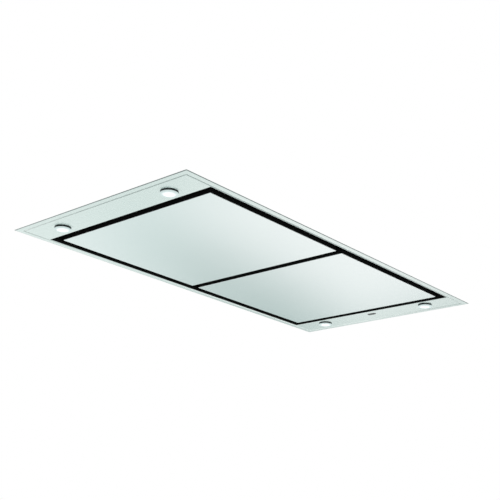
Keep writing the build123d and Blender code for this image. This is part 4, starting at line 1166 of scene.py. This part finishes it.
# ---------------------------------------------------------------- grease filters
class HOOD_OT_filters(Operator):
    """Grease filters: two sheets of expanded aluminium mesh in each frame"""
    bl_idname = "hood.filters"
    bl_label = "Grease filters"

    def execute(self, context):
        strand, long_way = sizes().strand, sizes().diamond
        edge = strand / 2
        for side, _ in SIDES:
            node = f"filter_mesh_{side}"
            a, b = low(node), high(node)
            rows = int((b.x - a.x) // (long_way / 2)) * 2
            columns = int((b.y - a.y) // long_way)
            step_x, step_y = (b.x - a.x - strand) / rows, (b.y - a.y - strand) / columns

            def build(mesh):
                for z, shift in ((a.z + edge, 0), (b.z - edge, 1)):
                    points = {}

                    def corner(i, half_steps):
                        if (i, half_steps) not in points:
                            place = (a.x + edge + i * step_x, a.y + edge + half_steps * step_y / 2, z)
                            points[i, half_steps] = mesh.verts.new(place)
                        return points[i, half_steps]

                    for i in range(rows - 1):
                        for start in range(i % 2 + shift, 2 * columns - 1, 2):
                            mesh.faces.new((corner(i + 1, start), corner(i + 2, start + 1),
                                            corner(i + 1, start + 2), corner(i, start + 1)))

            make_piece(f"expanded_mesh_{side}", build, "aluminium", f"filter_{side}", [node], wire=strand)
            paint("aluminium", f"filter_frame_{side}")
        return {"FINISHED"}


# ---------------------------------------------------------------- stage
class HOOD_OT_stage(Operator):
    """Pale floor, white ceiling around the hood, soft lights, reflection cards and the camera"""
    bl_idname = "hood.stage"
    bl_label = "Stage"

    def execute(self, context):
        stage = context.scene.hood_stage
        self.world(stage)
        self.floor(stage)
        self.ceiling(stage)
        self.graded_card(stage)
        self.grey_cards(stage)
        # large soft lights from the front and from above
        self.area_light("front_soft", (-1.5, -2.8, -1.3), (0, 0, -0.1), 2.4, 1.6, stage.front)
        self.area_light("top_soft", (-0.8, -0.9, 2.6), (0, 0, 0), 3.0, 3.0, stage.top)
        self.camera(stage)
        return {"FINISHED"}

    def white_where_seen(self, tree, other, white):
        """White for the camera, in reflections and through glass, and the other shader for the rest."""
        path = add_node(tree, "LightPath").outputs
        seen = path["Is Camera Ray"]
        for ray in ("Is Glossy Ray", "Is Transmission Ray"):
            seen = add_node(tree, "Math", {"operation": "MAXIMUM"}, {0: seen, 1: path[ray]}).outputs[0]
        return add_node(tree, "MixShader", links={0: seen, 1: other, 2: white}).outputs[0]

    def world(self, stage):
        world = bpy.data.worlds.new("studio")
        bpy.context.scene.world = world
        world.use_nodes = True
        tree = world.node_tree
        tree.nodes.clear()
        soft, white = [add_node(tree, "Background", {"Color": WHITE, "Strength": power}).outputs[0]
                       for power in (stage.world, 1.0)]
        add_node(tree, "OutputWorld", links={"Surface": self.white_where_seen(tree, soft, white)})

    def sheet(self, name, build, material):
        """Piece of the stage."""
        thing = mesh_object(name, build)
        thing.data.materials.append(material)
        return thing

    def floor(self, stage):
        reach = (-stage.floor_size, stage.floor_size)
        corners = level_corners(reach, reach, FACE - stage.floor_drop)
        material, _, sockets, _ = start_finish("pale_floor", 0.0, 0.9)
        sockets["Base Color"].default_value = (*stage.floor_tone, 1)
        self.sheet("floor", lambda mesh: flat_face(mesh, corners), material)

    def ceiling(self, stage):
        """White ceiling with the hood's cut-out.  It is clear from above, so that the casing shows."""
        casing, gap, z = high("lower_casing"), 4 * MM, high("ceiling_gasket").z
        rings = [[(x, y, z) for x, y in rounded_rectangle(half_x, half_y, 0.01 * MM, 1)]
                 for half_x, half_y in ((stage.ceiling, stage.ceiling), (casing.x + gap, casing.y + gap))]
        material, tree = empty_material("white_ceiling")
        plaster = add_node(tree, "BsdfDiffuse", {"Color": (*stage.plaster, 1)}).outputs[0]
        white = add_node(tree, "Emission", {"Color": WHITE, "Strength": 1.0}).outputs[0]
        clear = add_node(tree, "BsdfTransparent").outputs[0]
        front = self.white_where_seen(tree, plaster, white)
        behind = add_node(tree, "NewGeometry").outputs["Backfacing"]
        both = add_node(tree, "MixShader", links={0: behind, 1: front, 2: clear}).outputs[0]
        add_node(tree, "OutputMaterial", links={"Surface": both})
        ceiling = self.sheet("ceiling", lambda mesh: skin(mesh, rings, ends=False), material)
        for polygon in ceiling.data.polygons:
            if polygon.normal.z > 0:
                polygon.flip()

    def area_light(self, name, place, target, size_x, size_y, power):
        data = bpy.data.lights.new(name, "AREA")
        data.shape = "RECTANGLE"
        data.size, data.size_y = size_x, size_y
        data.energy = power
        light = bpy.data.objects.new(name, data)
        light.location = place
        light.rotation_euler = (Vector(target) - Vector(place)).to_track_quat("-Z", "Y").to_euler()
        light.visible_camera = False
        bpy.context.scene.collection.objects.link(light)

    def card(self, name, corners, material):
        """Card that only reflections see."""
        card = self.sheet(name, lambda mesh: flat_face(mesh, corners), material)
        card.visible_camera = card.visible_diffuse = card.visible_shadow = False

    def graded_card(self, stage):
        """Card below the hood that gives the panels their gradation: white, and grey to the far right."""
        material, tree = empty_material("graded_card")
        place = add_node(tree, "TexCoord").outputs["Object"]

        def fade(direction, start, end, other=None, operation="MULTIPLY"):
            """Share from 0 to 1 between two distances in metres, times another or the larger of the two."""
            reach = add_node(tree, "VectorMath", {"operation": "DOT_PRODUCT", 1: direction}, {0: place})
            span = {"interpolation_type": "SMOOTHSTEP", "From Min": start, "From Max": end}
            share = add_node(tree, "MapRange", span, {"Value": reach.outputs["Value"]}).outputs[0]
            if not other:
                return share
            return add_node(tree, "Math", {"operation": operation}, {0: share, 1: other}).outputs[0]

        along, across, oblique = (1, 0, 0), (0, 1, 0), (-0.14, 1, 0)
        near_left = fade(across, 1.75, 2.05, fade(along, 2.3, 1.0))
        # painted one over the other on the middle tone
        layers = ((fade(across, 1.36, 1.74, fade(along, 1.05, 1.65)), stage.card_dark),
                  (fade(oblique, 1.45, 1.0), WHITE[:3]),
                  (fade(across, 2.15, 2.6), stage.card_light),
                  (fade(along, 2.76, 2.97), stage.card_mid),
                  (fade(along, 2.9, 3.5), stage.card_dark),
                  (fade(along, 0.98, 0.6, near_left, "MAXIMUM"), stage.card_light))
        tone = add_node(tree, "RGB").outputs[0]
        tone.default_value = (*stage.card_mid, 1)
        for share, rgb in layers:
            tone = add_node(tree, "Mix", {"data_type": "RGBA", 7: (*rgb, 1)},
                            {"Factor": share, 6: tone}).outputs[2]
        glow = add_node(tree, "Emission", {"Strength": 1.1}, {"Color": tone}).outputs[0]
        add_node(tree, "OutputMaterial", links={"Surface": glow})
        self.card("graded_card", level_corners((0.1, 6.5), (0.4, 5.0), FACE - 0.8), material)

    def grey_cards(self, stage):
        """One card under the hood, which draws the folds as darker lines, and two upright ones at the near
        sides, which give the steel its tone when it is seen from the far sides."""
        materials = []
        for name, rgb in (("grey_card", stage.card_under), ("pale_card", stage.card_side)):
            material, tree = empty_material(name)
            glow = add_node(tree, "Emission", {"Color": (*rgb, 1)}).outputs[0]
            add_node(tree, "OutputMaterial", links={"Surface": glow})
            materials.append(material)
        grey, pale = materials
        away, half_length, top, bottom = -3.4, 3.0, FACE - 0.05, FACE - 1.5
        ends = ((-half_length, top), (half_length, top), (half_length, bottom), (-half_length, bottom))
        self.card("grey_card", level_corners((-1.7, 2.0), (-0.9, 1.4), FACE - 1.0), grey)
        self.card("side_card", [(away, y, z) for y, z in ends], pale)
        self.card("front_card", [(x, away, z) for x, z in ends], pale)

    def camera(self, stage):
        """Camera fitted to the photograph."""
        yaw, pitch, roll = (math.radians(angle) for angle in CAMERA_TURNS)
        forward = Vector((math.cos(pitch) * math.cos(yaw), math.cos(pitch) * math.sin(yaw), math.sin(pitch)))
        level = Vector((math.sin(yaw), -math.cos(yaw), 0))
        upright = level.cross(forward)
        right = math.cos(roll) * level + math.sin(roll) * upright
        up = math.cos(roll) * upright - math.sin(roll) * level
        data = bpy.data.cameras.new("camera")
        data.sensor_width = 36
        data.lens = stage.lens_mm
        camera = bpy.data.objects.new("camera", data)
        turn = Matrix((right, up, -forward)).transposed().to_4x4()
        camera.matrix_world = Matrix.Translation(CAMERA_PLACE) @ turn
        scene = bpy.context.scene
        scene.collection.objects.link(camera)
        scene.camera = camera
        scene.view_settings.view_transform = "Standard"


# ---------------------------------------------------------------- add-on
OPERATORS = (HOOD_OT_stage, HOOD_OT_face_frame, HOOD_OT_suction_panels, HOOD_OT_lamps, HOOD_OT_receiver,
             HOOD_OT_casing, HOOD_OT_motor_housing, HOOD_OT_duct_collar, HOOD_OT_control_box, HOOD_OT_screws,
             HOOD_OT_filters)
GROUPS = {"hood_sizes": HoodSizes, "hood_colours": HoodColours, "hood_stage": HoodStage}


class HOOD_PT_builder(Panel):
    """Lists the hood's pieces and settings"""
    bl_label = "Range hood"
    bl_idname = "HOOD_PT_builder"
    bl_space_type = "VIEW_3D"
    bl_region_type = "UI"
    bl_category = "Range hood"

    def draw(self, context):
        for group in GROUPS:
            box = self.layout.box()
            settings = getattr(context.scene, group)
            for name in GROUPS[group].__annotations__:
                box.prop(settings, name)
        for operator in OPERATORS:
            self.layout.operator(operator.bl_idname)


def register():
    for cls in (*GROUPS.values(), *OPERATORS, HOOD_PT_builder):
        bpy.utils.register_class(cls)
    for name, group in GROUPS.items():
        setattr(bpy.types.Scene, name, PointerProperty(type=group))


def unregister():
    for name in GROUPS:
        delattr(bpy.types.Scene, name)
    for cls in (HOOD_PT_builder, *reversed(OPERATORS), *GROUPS.values()):
        bpy.utils.unregister_class(cls)


def main():
    register()
    for operator in OPERATORS:
        family, action = operator.bl_idname.split(".")
        getattr(getattr(bpy.ops, family), action)()


if __name__ == "__main__":
    main()
